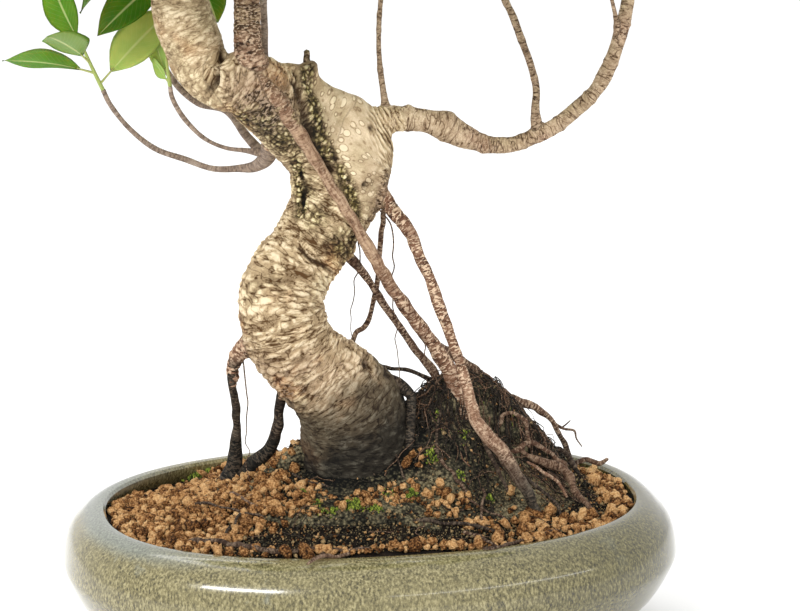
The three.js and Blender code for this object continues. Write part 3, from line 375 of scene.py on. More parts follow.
# Where the clay grains lie, as [x, y, reach x, reach y, share]; a negative share keeps them away.
GRAIN_PLACES = [
    [-108, -8, 52, 60, 1.9], [-62, 62, 62, 44, 1.4], [20, -29, 13, 7, 1.6], [34, -50, 16, 7, 1.6],
    [-15, -32, 11, 5, 1.2], [-8, -50, 12, 5, 1.2], [6, -44, 9, 7, 1.3], [26, -64, 16, 3, 0.8],
    [-41, -34, 8, 12, 1.3], [48, -71, 12, 4, 0.8], [74, -40, 5, 4, 1.0], [76, -54, 7, 4, 0.9],
    [150, -6, 18, 44, 2.2], [108, -60, 26, 10, 1.3], [40, -98, 75, 6, 1.1], [-2, -49, 22, 5, 0.55],
    [60, 76, 110, 26, 1.2], [82, -80, 20, 10, 1.0], [50, -72, 8, 5, 0.9], [-48, 10, 5, 6, 0.9],
    [-50, -74, 42, 7, -1.4], [-2, -79, 36, 11, -1.3], [52, 0, 44, 40, -2.2], [100, -4, 26, 34, -1.6],
    [-18, -20, 30, 18, -1.6], [60, -78, 18, 5, -0.4], [-112, 80, 50, 15, -1.4],
]
# Moss cushions as [x, y, reach, share of full thickness].
MOSS_PLACES = [
    [-22, -54, 6, 1], [-18, -53, 5, 1], [-20, -58, 5, 1], [-26, -56, 3, 1], [15, -48, 3.5, 1],
    [12, -52, 3, 0.8], [50, -23, 5, 0.15], [44, -39, 4, 0.3], [64, -18, 5, 0.12], [-92, 87, 7, 0.6],
    [-84, 90, 5, 0.5], [138, 34, 3, 0.9], [-39, -48, 3, 0.8], [-38, -58, 4, 0.8], [-32, -62, 4, 0.5],
    [-8, -60, 6, 0.5], [2, -50, 5, 0.5], [30, -30, 4, 0.6], [60, -48, 3, 0.4], [80, -12, 4, 0.12],
    [-46, -36, 3, 0.5], [36, -16, 4, 0.15],
]


# Numbers

def hashed(cells, salt):
    """A number between 0 and 1 for each row of three whole numbers."""
    x, y, z = (cells[..., k].astype(np.int64).astype(np.uint64) for k in range(3))
    mixed = x * np.uint64(73856093) ^ y * np.uint64(19349663) ^ z * np.uint64(83492791)
    mixed = mixed ^ np.uint64(salt * 2654435761)
    for factor in (0x9E3779B97F4A7C15, 0xBF58476D1CE4E5B9):
        mixed = (mixed ^ (mixed >> np.uint64(29))) * np.uint64(factor)
    return ((mixed >> np.uint64(33)) & np.uint64(0xFFFFFF)).astype(float) / 0x1000000


def noise(places, size, salt=0):
    """Smooth noise between -1 and 1 with lumps of a size, or of a size for each axis."""
    scaled = places / np.asarray(size, float)
    base = np.floor(scaled)
    part = scaled - base
    part = part * part * (3 - 2 * part)
    total = np.zeros(len(places))
    for corner in itertools.product((0, 1), repeat=3):
        weight = np.prod(np.where(corner, part, 1 - part), axis=-1)
        total += weight * hashed(base + corner, salt)
    return 2 * total - 1


def layered(places, size, salt=0, layers=3):
    """Noise with finer layers on it."""
    size = np.asarray(size, float)
    total = sum(noise(places, size / 2 ** k, salt + k) / 2 ** k for k in range(layers))
    return total / 1.6


def plates(places, size, salt=0):
    """How far inside its plate each place is, from 0 in a groove, and a number for the plate."""
    scaled = places / np.asarray(size, float)
    base = np.floor(scaled)
    nearest = np.full(len(places), 9.0)
    second = np.full(len(places), 9.0)
    own = np.zeros(len(places))
    for step in itertools.product((-1, 0, 1), repeat=3):
        cell = base + step
        middle = cell + 0.1 + 0.8 * np.stack([hashed(cell, salt + k) for k in (1, 2, 3)], -1)
        far = np.linalg.norm(scaled - middle, axis=-1)
        closer = far < nearest
        second = np.where(closer, nearest, np.minimum(second, far))
        own = np.where(closer, hashed(cell, salt + 4), own)
        nearest = np.minimum(nearest, far)
    return second - nearest, own


def ridges(places, length, width, salt):
    """Rounded ridges parted by thin wavy grooves, longer across a limb than along it."""
    return np.clip(np.abs(noise(places, (length, length, width), salt)) / 0.42, 0, 1) ** 0.6


def fade(value, low, high):
    """A smooth step from 0 at low to 1 at high."""
    share = np.clip((np.asarray(value, float) - low) / (high - low), 0, 1)
    return share * share * (3 - 2 * share)


def chance(seed):
    """The same number between 0 and 1 for the same seed, as in the part's source."""
    wave = math.sin(seed * 12.9898) * 43758.5453
    return wave - math.floor(wave)


def unit(vector):
    """A vector in the same direction with length 1."""
    return vector / np.linalg.norm(vector)


# Lines and skins

def cubic(p1, p2, start, end, steps):
    """Places from p1 up to p2 on the cubic curve that leaves and arrives with these slopes."""
    t = np.linspace(0, 1, steps + 1)[:-1, None]
    return (p1 + start * t + (3 * (p2 - p1) - 2 * start - end) * t ** 2
            + (2 * (p1 - p2) + start + end) * t ** 3)


def smooth_line(points, step):
    """Even places along a smooth line through points, which may carry a radius."""
    points = np.asarray(points, float)
    ends = [2 * points[0] - points[1], *points, 2 * points[-1] - points[-2]]
    samples = []
    for p0, p1, p2, p3 in zip(ends, ends[1:], ends[2:], ends[3:]):
        d0, d1, d2 = (max(np.linalg.norm((b - a)[:3]), 1e-6) ** 0.5
                      for a, b in ((p0, p1), (p1, p2), (p2, p3)))
        start = ((p1 - p0) / d0 - (p2 - p0) / (d0 + d1) + (p2 - p1) / d1) * d1
        end = ((p2 - p1) / d1 - (p3 - p1) / (d1 + d2) + (p3 - p2) / d2) * d1
        samples.append(cubic(p1, p2, start, end, 12))
    samples = np.concatenate([*samples, points[-1:]])
    along = np.concatenate([[0], np.cumsum(np.linalg.norm(np.diff(samples[:, :3], axis=0), axis=1))])
    count = max(3, int(round(along[-1] / step)) + 1)
    even = np.linspace(0, along[-1], count)
    line = np.stack([np.interp(even, along, samples[:, k]) for k in range(samples.shape[1])], 1)
    return line, even


class Limb:
    """A trunk, branch or root: its middle line with a radius and directions at each place."""

    def __init__(self, route, step=2.0, start=0.0):
        line, self.along = smooth_line(route, step)
        self.middles, self.radii = line[:, :3], np.maximum(line[:, 3], 0.15)
        self.along = self.along + start
        tangents = np.gradient(self.middles, axis=0)
        self.tangents = tangents / np.linalg.norm(tangents, axis=1, keepdims=True)
        across = np.array([0.2, -1.0, 0.1])
        self.across = np.empty_like(self.middles)
        for i, tangent in enumerate(self.tangents):
            across = unit(across - across @ tangent * tangent)
            self.across[i] = across
        self.over = np.cross(self.tangents, self.across)

    def tube(self, sides, relief=None, blunt=0.7):
        """Closed rings round the limb: places, quads, triangles and straightened places."""
        turn = 2 * math.pi * np.arange(sides) / sides
        cos, sin = np.cos(turn)[None, :, None], np.sin(turn)[None, :, None]
        outwards = self.across[:, None] * cos + self.over[:, None] * sin
        radii = self.radii[:, None, None]
        flat = np.concatenate([radii * cos, radii * sin, np.broadcast_to(
            self.along[:, None, None], (len(self.along), sides, 1))], -1).reshape(-1, 3)
        extra = np.zeros(len(flat)) if relief is None else relief(flat)
        places = self.middles[:, None] + outwards * (radii + extra.reshape(-1, sides, 1))
        ends = [self.middles[0] - self.tangents[0] * blunt * self.radii[0],
                self.middles[-1] + self.tangents[-1] * blunt * self.radii[-1]]
        rows = len(self.middles)
        quads, fans = ring_faces(rows, sides)
        flat = np.concatenate([flat, [[0, 0, self.along[0]], [0, 0, self.along[-1]]]])
        return np.concatenate([places.reshape(-1, 3), ends]), quads, fans, flat


def ring_faces(rows, sides):
    """Faces of a stack of rings whose first tip and last tip come after the rings."""
    i, j = np.meshgrid(np.arange(rows - 1), np.arange(sides), indexing="ij")
    nxt = (j + 1) % sides
    quads = np.stack([i * sides + j, i * sides + nxt, (i + 1) * sides + nxt, (i + 1) * sides + j], -1)
    j = np.arange(sides)
    nxt = (j + 1) % sides
    first, last, top = rows * sides, rows * sides + 1, (rows - 1) * sides
    fans = np.concatenate([np.stack([np.full(sides, first), nxt, j], -1),
                           np.stack([np.full(sides, last), top + j, top + nxt], -1)])
    return quads.reshape(-1, 4), fans


def set_values(mesh, **values):
    """Stores a number or a vector for each place of a mesh."""
    for name, value in values.items():
        kind, field = ("FLOAT", "value") if value.ndim == 1 else ("FLOAT_VECTOR", "vector")
        attribute = mesh.attributes.new(name, kind, "POINT")
        attribute.data.foreach_set(field, value.astype(np.float32).ravel())


class Skin:
    """Gathers places, faces and values at each place, and becomes one mesh object."""

    def __init__(self):
        self.places, self.faces, self.values, self.count = [], [], defaultdict(list), 0

    def add(self, places, *faces, **values):
        self.places.append(places)
        self.faces += [face + self.count for face in faces if len(face)]
        for name, value in values.items():
            value = np.asarray(value, float)
            if value.ndim == 0:
                value = np.full(len(places), float(value))
            self.values[name].append(value)
        self.count += len(places)

    def made(self, name, smooth=True):
        """Makes the object; its places turn from millimetres into metres."""
        mesh = bpy.data.meshes.new(name)
        places = np.concatenate(self.places)
        corners = np.concatenate([face.ravel() for face in self.faces]).astype(np.int32)
        sizes = np.concatenate([np.full(len(face), face.shape[1]) for face in self.faces])
        mesh.vertices.add(len(places))
        mesh.vertices.foreach_set("co", (places * MM).astype(np.float32).ravel())
        mesh.loops.add(len(corners))
        mesh.loops.foreach_set("vertex_index", corners)
        mesh.polygons.add(len(sizes))
        mesh.polygons.foreach_set("loop_start", (np.cumsum(sizes) - sizes).astype(np.int32))
        mesh.update(calc_edges=True)
        for label, parts in self.values.items():
            value = np.concatenate(parts)
            if label == "uv":
                layer = mesh.uv_layers.new(name="UVMap")
                layer.data.foreach_set("uv", value[corners].astype(np.float32).ravel())
            else:
                set_values(mesh, **{label: value})
        if smooth:
            mesh.shade_smooth()
        piece = bpy.data.objects.new(name, mesh)
        bpy.context.scene.collection.objects.link(piece)
        return piece


def pick_only(piece):
    """Selects one object and makes it the active one."""
    bpy.ops.object.select_all(action="DESELECT")
    piece.select_set(True)
    bpy.context.view_layer.objects.active = piece


def apply_modifier(piece, kind, **settings):
    """Adds a modifier to a piece with bpy.ops and applies it."""
    pick_only(piece)
    bpy.ops.object.modifier_add(type=kind)
    modifier = piece.modifiers[-1]
    for name, value in settings.items():
        setattr(modifier, name, value)
    bpy.ops.object.modifier_apply(modifier=modifier.name)


def fetched(items, field, kind=np.float32):
    """One field of many mesh items, three numbers for each."""
    values = np.empty(3 * len(items), kind)
    items.foreach_get(field, values)
    return values.reshape(-1, 3)


def read_mesh(mesh):
    """Places in millimetres and normals of a mesh."""
    places, normals = fetched(mesh.vertices, "co"), fetched(mesh.vertex_normals, "vector")
    return places.astype(float) / MM, normals.astype(float)


def write_places(piece, places):
    """Moves the places of a piece, given in millimetres."""
    piece.data.vertices.foreach_set("co", (places * MM).astype(np.float32).ravel())
    piece.data.update()


def grown_together(name, limbs, coarse, fine, rounds, sides=22):
    """Joins limbs into one skin with soft crotches, by remeshing coarsely, smoothing, then finely."""
    skin = Skin()
    for limb in limbs:
        places, quads, fans, _ = limb.tube(sides, blunt=0.5)
        skin.add(places, quads, fans)
    piece = skin.made(name, smooth=False)
    apply_modifier(piece, "REMESH", mode="VOXEL", voxel_size=coarse * MM)
    apply_modifier(piece, "SMOOTH", factor=0.5, iterations=rounds)
    apply_modifier(piece, "REMESH", mode="VOXEL", voxel_size=fine * MM)
    apply_modifier(piece, "SMOOTH", factor=0.5, iterations=2)
    return piece


def along_limb(places, limb, batch=20000):
    """Straightened places on one limb, and how many of its radii away each place is."""
    middles = limb.middles.astype(np.float32)
    pick = np.empty(len(places), int)
    for begin in range(0, len(places), batch):
        part = places[begin:begin + batch].astype(np.float32)
        pick[begin:begin + batch] = ((middles ** 2).sum(1)[None] - 2 * part @ middles.T).argmin(1)
    ahead = ((places - limb.middles[pick]) * limb.tangents[pick]).sum(1)
    other = np.clip(pick + np.where(ahead > 0, 1, -1), 0, len(middles) - 1)
    behind = ((places - limb.middles[other]) * limb.tangents[other]).sum(1)
    at_end = other == pick
    share = np.where(at_end, 0, np.clip(ahead / np.where(at_end, 1, ahead - behind), 0, 1))

    def between(values):
        part = share[:, None] if values.ndim > 1 else share
        return values[pick] + (values[other] - values[pick]) * part

    apart = places - between(limb.middles)
    x, y = (apart * between(limb.across)).sum(1), (apart * between(limb.over)).sum(1)
    radius = between(limb.radii)
    size = radius / np.maximum(np.hypot(x, y), 1e-6)
    along = between(limb.along) + np.where(at_end, ahead, 0)
    return np.stack([x * size, y * size, along], 1), np.linalg.norm(apart, axis=1) / radius


def straightened(places, limbs):
    """Bark places on the nearest limb and on the next one, the nearest one's share, and which it is."""
    found = [along_limb(places, limb) for limb in limbs]
    ratios = np.stack([ratio for _, ratio in found])
    order = np.argsort(ratios, axis=0)[:2]
    rows = np.arange(len(places))
    flats = np.stack([flat for flat, _ in found])
    share = 0.5 + 0.5 * np.clip((ratios[order[1], rows] - ratios[order[0], rows]) / 0.22, 0, 1)
    return flats[order[0], rows], flats[order[1], rows], share, order[0]


def near_line(places, points, width):
    """1 on a line through points, falling off smoothly over a width."""
    line, _ = smooth_line(points, 1.0)
    far = np.full(len(places), np.inf)
    for point in line:
        far = np.minimum(far, ((places - point) ** 2).sum(1))
    return np.exp(-far / width ** 2)


def raised_to(values, places, spots):
    """Values raised to each spot's share near it: rows of x, y, z, reach and share."""
    for x, y, z, reach, share in spots:
        far = ((places - [x, y, z]) ** 2).sum(1)
        values = np.maximum(values, share * np.exp(-far / reach ** 2))
    return values


# Finishes

def tint(red, green, blue):
    """A screen colour, 0 to 255, as the linear colour that a shader takes."""
    return tuple(c / 12.92 if c <= 0.04045 else ((c + 0.055) / 1.055) ** 2.4
                 for c in (red / 255, green / 255, blue / 255)) + (1.0,)


def screen(colour):
    """A colour setting, 0 to 1, on the scale that ramps take."""
    return [255 * c for c in colour]


class Wire:
    """A node's output in a finish; each sign between wires and numbers adds a Math node."""

    def __init__(self, finish, socket):
        self.finish, self.socket = finish, socket

    def __add__(self, other):
        return self.finish.maths("ADD", self, other)

    def __sub__(self, other):
        return self.finish.maths("SUBTRACT", self, other)

    def __rsub__(self, other):
        return self.finish.maths("SUBTRACT", other, self)

    def __mul__(self, other):
        return self.finish.maths("MULTIPLY", self, other)

    def __abs__(self):
        return self.finish.maths("ABSOLUTE", self)


class Finish:
    """A material being made: each method adds one node and gives what comes out of it."""

    def __init__(self, name, **sockets):
        self.material = bpy.data.materials.new(name)
        self.material.use_nodes = True
        self.tree = self.material.node_tree
        self.shader = self.tree.nodes["Principled BSDF"]
        self.set(**sockets)

    def set(self, **sockets):
        """Feeds the shader's sockets, named with _ for each space."""
        self.feed(self.shader, {name.replace("_", " "): value for name, value in sockets.items()})

    def feed(self, node, inputs):
        for name, value in inputs.items():
            if isinstance(value, Wire):
                self.tree.links.new(value.socket, node.inputs[name])
            else:
                node.inputs[name].default_value = value

    def node(self, kind, *outs, inputs=None, **settings):
        """Adds a node and gives a wire from each of the outputs asked for."""
        node = self.tree.nodes.new("ShaderNode" + kind)
        for name, value in settings.items():
            setattr(node, name, value)
        self.feed(node, inputs or {})
        wires = [Wire(self, node.outputs[out]) for out in outs]
        return wires[0] if len(wires) == 1 else wires

    def maths(self, operation, a, b=0.0):
        return self.node("Math", 0, inputs={0: a, 1: b}, operation=operation)

    def object_place(self):
        return self.node("TexCoord", "Object")

    def uv(self):
        return self.node("TexCoord", "UV")

    def value(self, name):
        return self.node("Attribute", "Fac", attribute_name=name)

    def vector(self, name):
        return self.node("Attribute", "Vector", attribute_name=name)

    def parts_of(self, vector):
        return self.node("SeparateXYZ", 0, 1, 2, inputs={0: vector})

    def stretch(self, vector, along):
        """Scales a vector along Z alone, which runs along a limb on straightened places."""
        return self.node("Mapping", "Vector", inputs={"Vector": vector, "Scale": (1.0, 1.0, along)})

    def noise(self, vector, scale, detail=3.0, roughness=0.55, distortion=0.0):
        return self.node("TexNoise", "Fac", inputs={
            "Vector": vector, "Scale": scale, "Detail": detail, "Roughness": roughness,
            "Distortion": distortion})

    def cells(self, vector, scale):
        """Distance to the nearest of many scattered points, and a random number of its own."""
        return self.node("TexVoronoi", "Distance", "Color", inputs={"Vector": vector, "Scale": scale})

    def span(self, value, low, high, to_low=0.0, to_high=1.0):
        """A smooth step of a value from one range into another."""
        return self.node("MapRange", "Result", interpolation_type="SMOOTHSTEP", inputs={
            "Value": value, "From Min": low, "From Max": high, "To Min": to_low, "To Max": to_high})

    def ramp(self, value, *stops):
        """A colour for a value, through stops of a position and a screen colour each."""
        node = self.tree.nodes.new("ShaderNodeValToRGB")
        elements = node.color_ramp.elements
        while len(elements) < len(stops):
            elements.new(0.5)
        for element, (position, *colour) in zip(elements, stops):
            element.position, element.color = position, tint(*colour)
        self.feed(node, {0: value})
        return Wire(self, node.outputs["Color"])

    def mix(self, share, a, b):
        return self.node("Mix", 2, inputs={"Factor": share, 6: a, 7: b}, data_type="RGBA")

    def bump(self, height, distance, strength=1.0):
        """The bumps of a height, with the distance in millimetres."""
        return self.node("Bump", "Normal", inputs={
            "Height": height, "Distance": distance * MM, "Strength": strength})


def glaze(settings):
    """Olive stoneware glaze, finely speckled, with a raw clay foot. Its blue-grey lip at the left is
    partly glaze and partly painted reflection of the sky; its right side is darkened with painted shade.
    """
    f = Finish("olive_glaze", Roughness=0.2, Coat_Weight=0.6, Coat_Roughness=0.06)
    place = f.object_place()
    x, _, height = f.parts_of(place)
    cloud = f.noise(place, 26.0, 3.0, 0.6)
    streak = f.noise(f.stretch(place, 0.35), 190.0, 3.0, 0.6)
    fleck = f.noise(f.stretch(place, 0.5), 760.0, 3.0, 0.7)
    olive = f.ramp(fleck, (0.34, 46, 42, 20), (0.5, *screen(settings.glaze)), (0.66, 170, 160, 118))
    light = f.ramp(streak, (0.35, 100, 92, 58), (0.7, 158, 149, 108))
    body = f.mix(f.span(cloud, 0.35, 0.7, 0.0, 0.35), olive, light)
    blue = f.ramp(fleck, (0.3, 92, 97, 88), (0.7, 146, 150, 138))
    body = f.mix(f.span(f.noise(place, 30.0, 4.0, 0.7), 0.62, 0.74) * 0.55, body, blue)
    level = height + (cloud - 0.5) * 0.004
    body = f.mix(f.span(level, 0.05, 0.026, 0.0, 0.5), body, light)
    # Blue-grey on the lip at the left: partly the glaze's colour, partly painted reflection of the sky.
    left = f.span(x, -0.09, -0.15, 0.08, 0.95)
    body = f.mix(f.span(level, 0.082, 0.0888) * left, body, blue)
    # Darker olive towards the right side: painted shade.
    painted_shade_right = f.ramp(fleck, (0.34, 34, 31, 12), (0.5, 72, 68, 34), (0.66, 116, 109, 66))
    body = f.mix(f.span(x, 0.0, 0.17, 0.0, 0.85), body, painted_shade_right)
    clay = f.ramp(f.noise(place, 900.0, 3.0), (0.35, 88, 62, 44), (0.7, 150, 112, 82))
    raw = f.span(level, 0.0075, 0.0065)
    f.set(Base_Color=f.mix(raw, body, clay), Roughness=f.span(raw, 0.0, 1.0, 0.2, 0.85))
    relief = f.noise(place, 620.0, 4.0, 0.6) * 0.12 + f.noise(place, 90.0, 2.0)
    f.set(Normal=f.bump(relief, 0.5, 0.35))
    return f.material


def crack_lines(f, flat, stretch, scale, thin, detail, wander):
    """Thin wavy lines where a noise crosses its middle."""
    line = f.noise(f.stretch(flat, stretch), scale, detail, 0.6, wander)
    return f.span(abs(line - 0.5), thin, 0.0)


def wart_height(f, flat, share):
    """Round warts with a groove round each, larger or smaller by the number of its cell."""
    distance, own = f.cells(f.stretch(flat, 1.5), 215.0)
    beyond = distance - (own * 0.36 + 0.2)
    ring = f.span(abs(beyond), 0.1, 0.0)
    inside = f.span(beyond, 0.0, -0.12)
    return (inside * 0.12 - ring * 0.16) * (f.span(own, 0.22, 0.34) * share)


def bark(name, deep, middle, pale, stretch, bumps=0.6, flaky=0.8, cracked=0.5, warty=False):
    """Bark on straightened places, with cracks, pale flakes where rusty, moss, and soot mixed with
    painted shade.

    Where calm it is smooth: with warts on the trunk's warty bark, with long streaks on others.
    """
    f = Finish(name, Roughness=0.85, Specular_IOR_Level=0.25)
    flat, place = f.vector("bark"), f.object_place()
    relief, calm, soot, rust, olive = (f.value(k) for k in ("relief", "calm", "soot", "rust", "olive"))
    lively = 1.0 - calm * 0.85
    fine = (f.noise(f.stretch(flat, stretch), 420.0, 5.0, 0.66, 0.5) - 0.5) * (lively * 0.6 + 0.4)
    long = crack_lines(f, flat, 3.6, 60.0, 0.042, 2.0, 0.5)
    short = crack_lines(f, flat, 1.9, 130.0, 0.022, 2.5, 0.4)
    crack = f.maths("MAXIMUM", long, short * 0.6) * (lively * cracked)
    grain = f.noise(flat, 1700.0, 3.0, 0.65) - 0.5
    plate_share, crack_share, light = (0.46, 0.26, 0.285) if warty else (0.3, 0.36, 0.36)
    height = relief * plate_share + fine * 0.42 - crack * crack_share + grain * 0.18
    if not warty:
        height = height + (f.noise(f.stretch(flat, 0.16), 620.0, 3.0, 0.6) - 0.5) * calm
    shade = height + light + (f.noise(place, 52.0, 4.0, 0.62) - 0.5) * 0.3
    if warty:
        wart = wart_height(f, flat, calm)
        height, shade = height + wart, shade + wart
    else:
        shade = shade + calm * 0.1
    colour = f.ramp(shade, (0.2, *deep), (0.46, *middle), (0.68, *pale))
    if warty:
        warm = f.ramp(shade, (0.2, 84, 50, 26), (0.46, 186, 138, 92), (0.68, 232, 196, 148))
        patch = f.span(f.noise(place, 34.0, 3.0, 0.5), 0.54, 0.68, 0.0, 0.75)
        colour = f.mix(patch * f.span(f.parts_of(place)[0], 0.012, -0.006), colour, warm)
        smooth = f.ramp(shade, (0.2, 96, 72, 48), (0.46, 180, 156, 124), (0.68, 234, 214, 184))
        colour = f.mix(calm * 0.8, colour, smooth)
    rusty = f.ramp(shade, (0.22, 38, 20, 12), (0.48, 114, 80, 60), (0.74, 184, 150, 124))
    colour = f.mix(rust, colour, rusty)
    mossy = f.ramp(shade, (0.26, 20, 17, 5), (0.44, 76, 62, 28), (0.58, 166, 150, 100),
                   (0.72, 230, 218, 174))
    colour = f.mix(olive * f.span(f.noise(place, 300.0, 5.0, 0.75), 0.3, 0.5), colour, mossy)
    # Near-black where the soot value says: soot and soil low down, painted shade in pits, grooves and
    # under the shoulder.
    soot_and_shade_colour = f.ramp(shade, (0.32, 7, 7, 5), (0.52, 30, 29, 25), (0.78, 92, 88, 77))
    colour = f.mix(soot, colour, soot_and_shade_colour)
    flake = f.span(f.noise(f.stretch(flat, 2.4), 400.0, 3.0, 0.55), 0.52, 0.55)
    flake = flake * f.span(f.noise(flat, 90.0, 3.0), 0.36, 0.54, 0.3, 1.0) * (rust * flaky)
    flake = flake * (lively if warty else 1.0 - calm * 0.45) * (1.0 - soot * 0.9)
    colour = f.mix(flake, colour, tint(222, 194, 164))
    f.set(Base_Color=colour, Normal=f.bump(height + flake * 0.25, bumps))
    return f.material


def soil_finish(name, scale, bumps, *stops):
    """Crumbly soil or baked clay, with a tone of its own on each grain."""
    f = Finish(name, Roughness=0.92, Specular_IOR_Level=0.2)
    place = f.object_place()
    crumbs = f.noise(place, scale, 6.0, 0.72)
    knobs = 1.0 - f.cells(place, scale * 1.3)[0]
    # The knobs are lighter in their middles and darker where they meet: painted shade between the crumbs.
    shade = crumbs * 0.6 + f.value("tone") * 0.36 + (knobs - 0.55) * 0.35
    f.set(Base_Color=f.ramp(shade, *stops), Normal=f.bump(crumbs + knobs * 0.6, bumps))
    return f.material


def leaf_finish(settings):
    """A glossy leaf: pale midrib and side veins, lighter underneath and where young."""
    f = Finish("banyan_leaf", Roughness=0.42, Specular_IOR_Level=0.16, Subsurface_Weight=0.08,
               Subsurface_Scale=0.002)
    across, along, _ = f.parts_of(f.uv())
    off = abs(across - 0.5)
    rib = f.span(off, 0.045, 0.012)
    wave = abs(f.maths("FRACT", along * 13.0 - off * 7.0) - 0.5)
    vein = f.span(wave, 0.07, 0.0) * f.span(off, 0.5, 0.36, 0.0, 0.45)
    shade = f.value("tone") + (f.noise(f.object_place(), 120.0, 3.0) - 0.5) * 0.25
    green = f.ramp(shade, (0.0, 24, 58, 0), (0.35, *screen(settings.green)), (0.65, 98, 146, 28),
                   (0.85, 150, 180, 88), (1.0, 184, 194, 100))
    green = f.mix(f.value("under") * 0.55, green, tint(142, 166, 96))
    pale = f.mix(0.55, green, tint(206, 214, 146))
    green = f.mix(f.maths("MAXIMUM", rib, vein * 0.5), green, pale)
    green = f.mix(f.value("stalk"), green, tint(176, 184, 112))
    f.set(Base_Color=green, Normal=f.bump(1.0 - f.maths("MAXIMUM", rib, vein), 0.25, 0.6))
    return f.material


def moss_finish():
    """Green blades, some darker and some more yellow."""
    f = Finish("moss_cushion", Roughness=0.9)
    shade = f.value("tone") * 0.7 + f.noise(f.object_place(), 800.0, 3.0) * 0.5
    f.set(Base_Color=f.ramp(shade, (0.15, 16, 22, 4), (0.45, 50, 66, 12), (0.7, 104, 122, 28),
                            (0.95, 170, 182, 70)))
    return f.material


def plastic_finish():
    """Black plastic with a faint grain, for the drain meshes."""
    f = Finish("black_plastic_mesh", Roughness=0.45)
    grain = f.noise(f.object_place(), 1800.0, 2.0)
    f.set(Base_Color=f.ramp(grain, (0.3, 34, 36, 37), (0.7, 54, 56, 58)), Normal=f.bump(grain, 0.08))
    return f.material


def dress(piece, material, slot, *nodes):
    """Gives a finished piece its material and its body, and hides the nodes it stands for; the slot is
    not used.
    """
    piece.data.materials.clear()
    piece.data.materials.append(material)
    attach(piece, "root")
    if nodes:
        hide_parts(*nodes)
    return piece


# Pot

def oval_reach(turn):
    """Where the mouth's oval of half axes 1 lies at each turn."""
    c, s = np.cos(turn), np.sin(turn)
    reach = (np.abs(c) ** OVAL_POWER + np.abs(s) ** OVAL_POWER) ** (-1 / OVAL_POWER)
    return np.stack([c * reach, s * reach], -1)


def outline_curve(points, steps):
    """A smooth outline through [offset, height] points, finer than the part's."""
    points = np.asarray(points, float)
    ends = [points[0], *points, points[-1]]
    rows = []
    for p0, p1, p2, p3 in zip(ends, ends[1:], ends[2:], ends[3:]):
        rows.append(cubic(p1, p2, (p2 - p0) / 2, (p3 - p1) / 2, steps))
    return np.concatenate([*rows, points[-1:]])


def thrown_pot(segments):
    """Throws the pot ring by ring: each ring is extruded from the last and resized."""
    outer = outline_curve(OUTER_OUTLINE, 3)
    lip = [[5.2, 89.4], [2.4, 90.0], [-0.4, 89.6], [-1.7, 88.0], [-1.6, 85.6], [-0.4, 82.6]]
    inner = outline_curve(INNER_OUTLINE, 4)
    foot = [[-40, 2.2], [-25, 2.2], [-22.6, 1.6], [-21.8, 0.4], [-20.8, 0.0], [-16.2, 0.0]]
    outline = [*foot, [-15, 0.5], *outer[1:], *lip, *inner]
    bpy.ops.object.select_all(action="DESELECT")
    bpy.ops.mesh.primitive_circle_add(vertices=segments, radius=1.0, fill_type="NGON")
    pot = bpy.context.object
    pot.name = pot.data.name = "glazed_pot"
    turn = np.array([math.atan2(v.co.y, v.co.x) for v in pot.data.vertices])
    sizes = [(MOUTH + offset) * MM for offset, _ in outline]
    start = np.concatenate([oval_reach(turn) * sizes[0], np.full((segments, 1), outline[0][1] * MM)], 1)
    pot.data.vertices.foreach_set("co", start.astype(np.float32).ravel())
    bpy.ops.object.mode_set(mode="EDIT")
    bpy.ops.mesh.select_mode(type="EDGE")
    bpy.ops.mesh.select_all(action="SELECT")
    bpy.ops.mesh.region_to_loop()
    for (_, low), (_, high), old, new in zip(outline, outline[1:], sizes, sizes[1:]):
        bpy.ops.mesh.extrude_edges_move(TRANSFORM_OT_translate={"value": (0, 0, (high - low) * MM)})
        bpy.ops.transform.resize(value=(*(new / old), 1), center_override=(0, 0, high * MM))
    bpy.ops.mesh.edge_face_add()
    bpy.ops.mesh.select_all(action="SELECT")
    bpy.ops.mesh.normals_make_consistent(inside=False)
    bpy.ops.object.mode_set(mode="OBJECT")
    return pot


def drill_drains(pot):
    """Cuts the two drain holes with a rounded peg each."""
    for x in DRAIN_PLACES:
        bpy.ops.object.select_all(action="DESELECT")
        bpy.ops.mesh.primitive_cylinder_add(vertices=32, radius=DRAIN_RADIUS * MM, depth=0.04,
                                            location=(x * MM, 0, 0.006))
        peg = bpy.context.object
        bpy.ops.object.transform_apply(location=True, rotation=True, scale=True)
        apply_modifier(pot, "BOOLEAN", operation="DIFFERENCE", object=peg, solver="EXACT")
        bpy.data.objects.remove(peg)


def make_pot(settings):
    """The thrown, drilled and glazed pot."""
    pot = thrown_pot(settings.segments)
    drill_drains(pot)
    pick_only(pot)
    bpy.ops.object.shade_smooth_by_angle(angle=math.radians(40))
    return dress(pot, glaze(settings), "pot", "pot")


# Soil

def soil_height(x, y):
    """Height of the soil: the part's rule, with a hollow by the wall at the back left."""
    mound = 28 * np.exp(-((x + 14) / 85) ** 2 - ((y + 4) / 70) ** 2)
    heap = 50 * np.exp(-((x - 44) / np.where(x < 44, 38, 62)) ** 2 - ((y - 2) / 34) ** 2)
    hollow = 8 * np.exp(-((x + 112) / 52) ** 2 - ((y - 74) / 36) ** 2)
    return 86 - 3 * (x / MOUTH[0]) ** 2 + mound + heap - hollow


def soil_places(flat):
    """Places on the soil over [x, y] places."""
    return np.concatenate([flat, soil_height(flat[:, 0], flat[:, 1])[:, None]], 1)


def at_height(flat, z):
    """Places at one height over [x, y] places."""
    return np.concatenate([flat, np.full((len(flat), 1), float(z))], 1)


def closed_rings(rings, first, last):
    """Places, quads and triangles of a stack of rings, closed at its first and last place."""
    quads, fans = ring_faces(len(rings), len(rings[0]))
    return np.concatenate([*rings, [first], [last]]), quads, fans


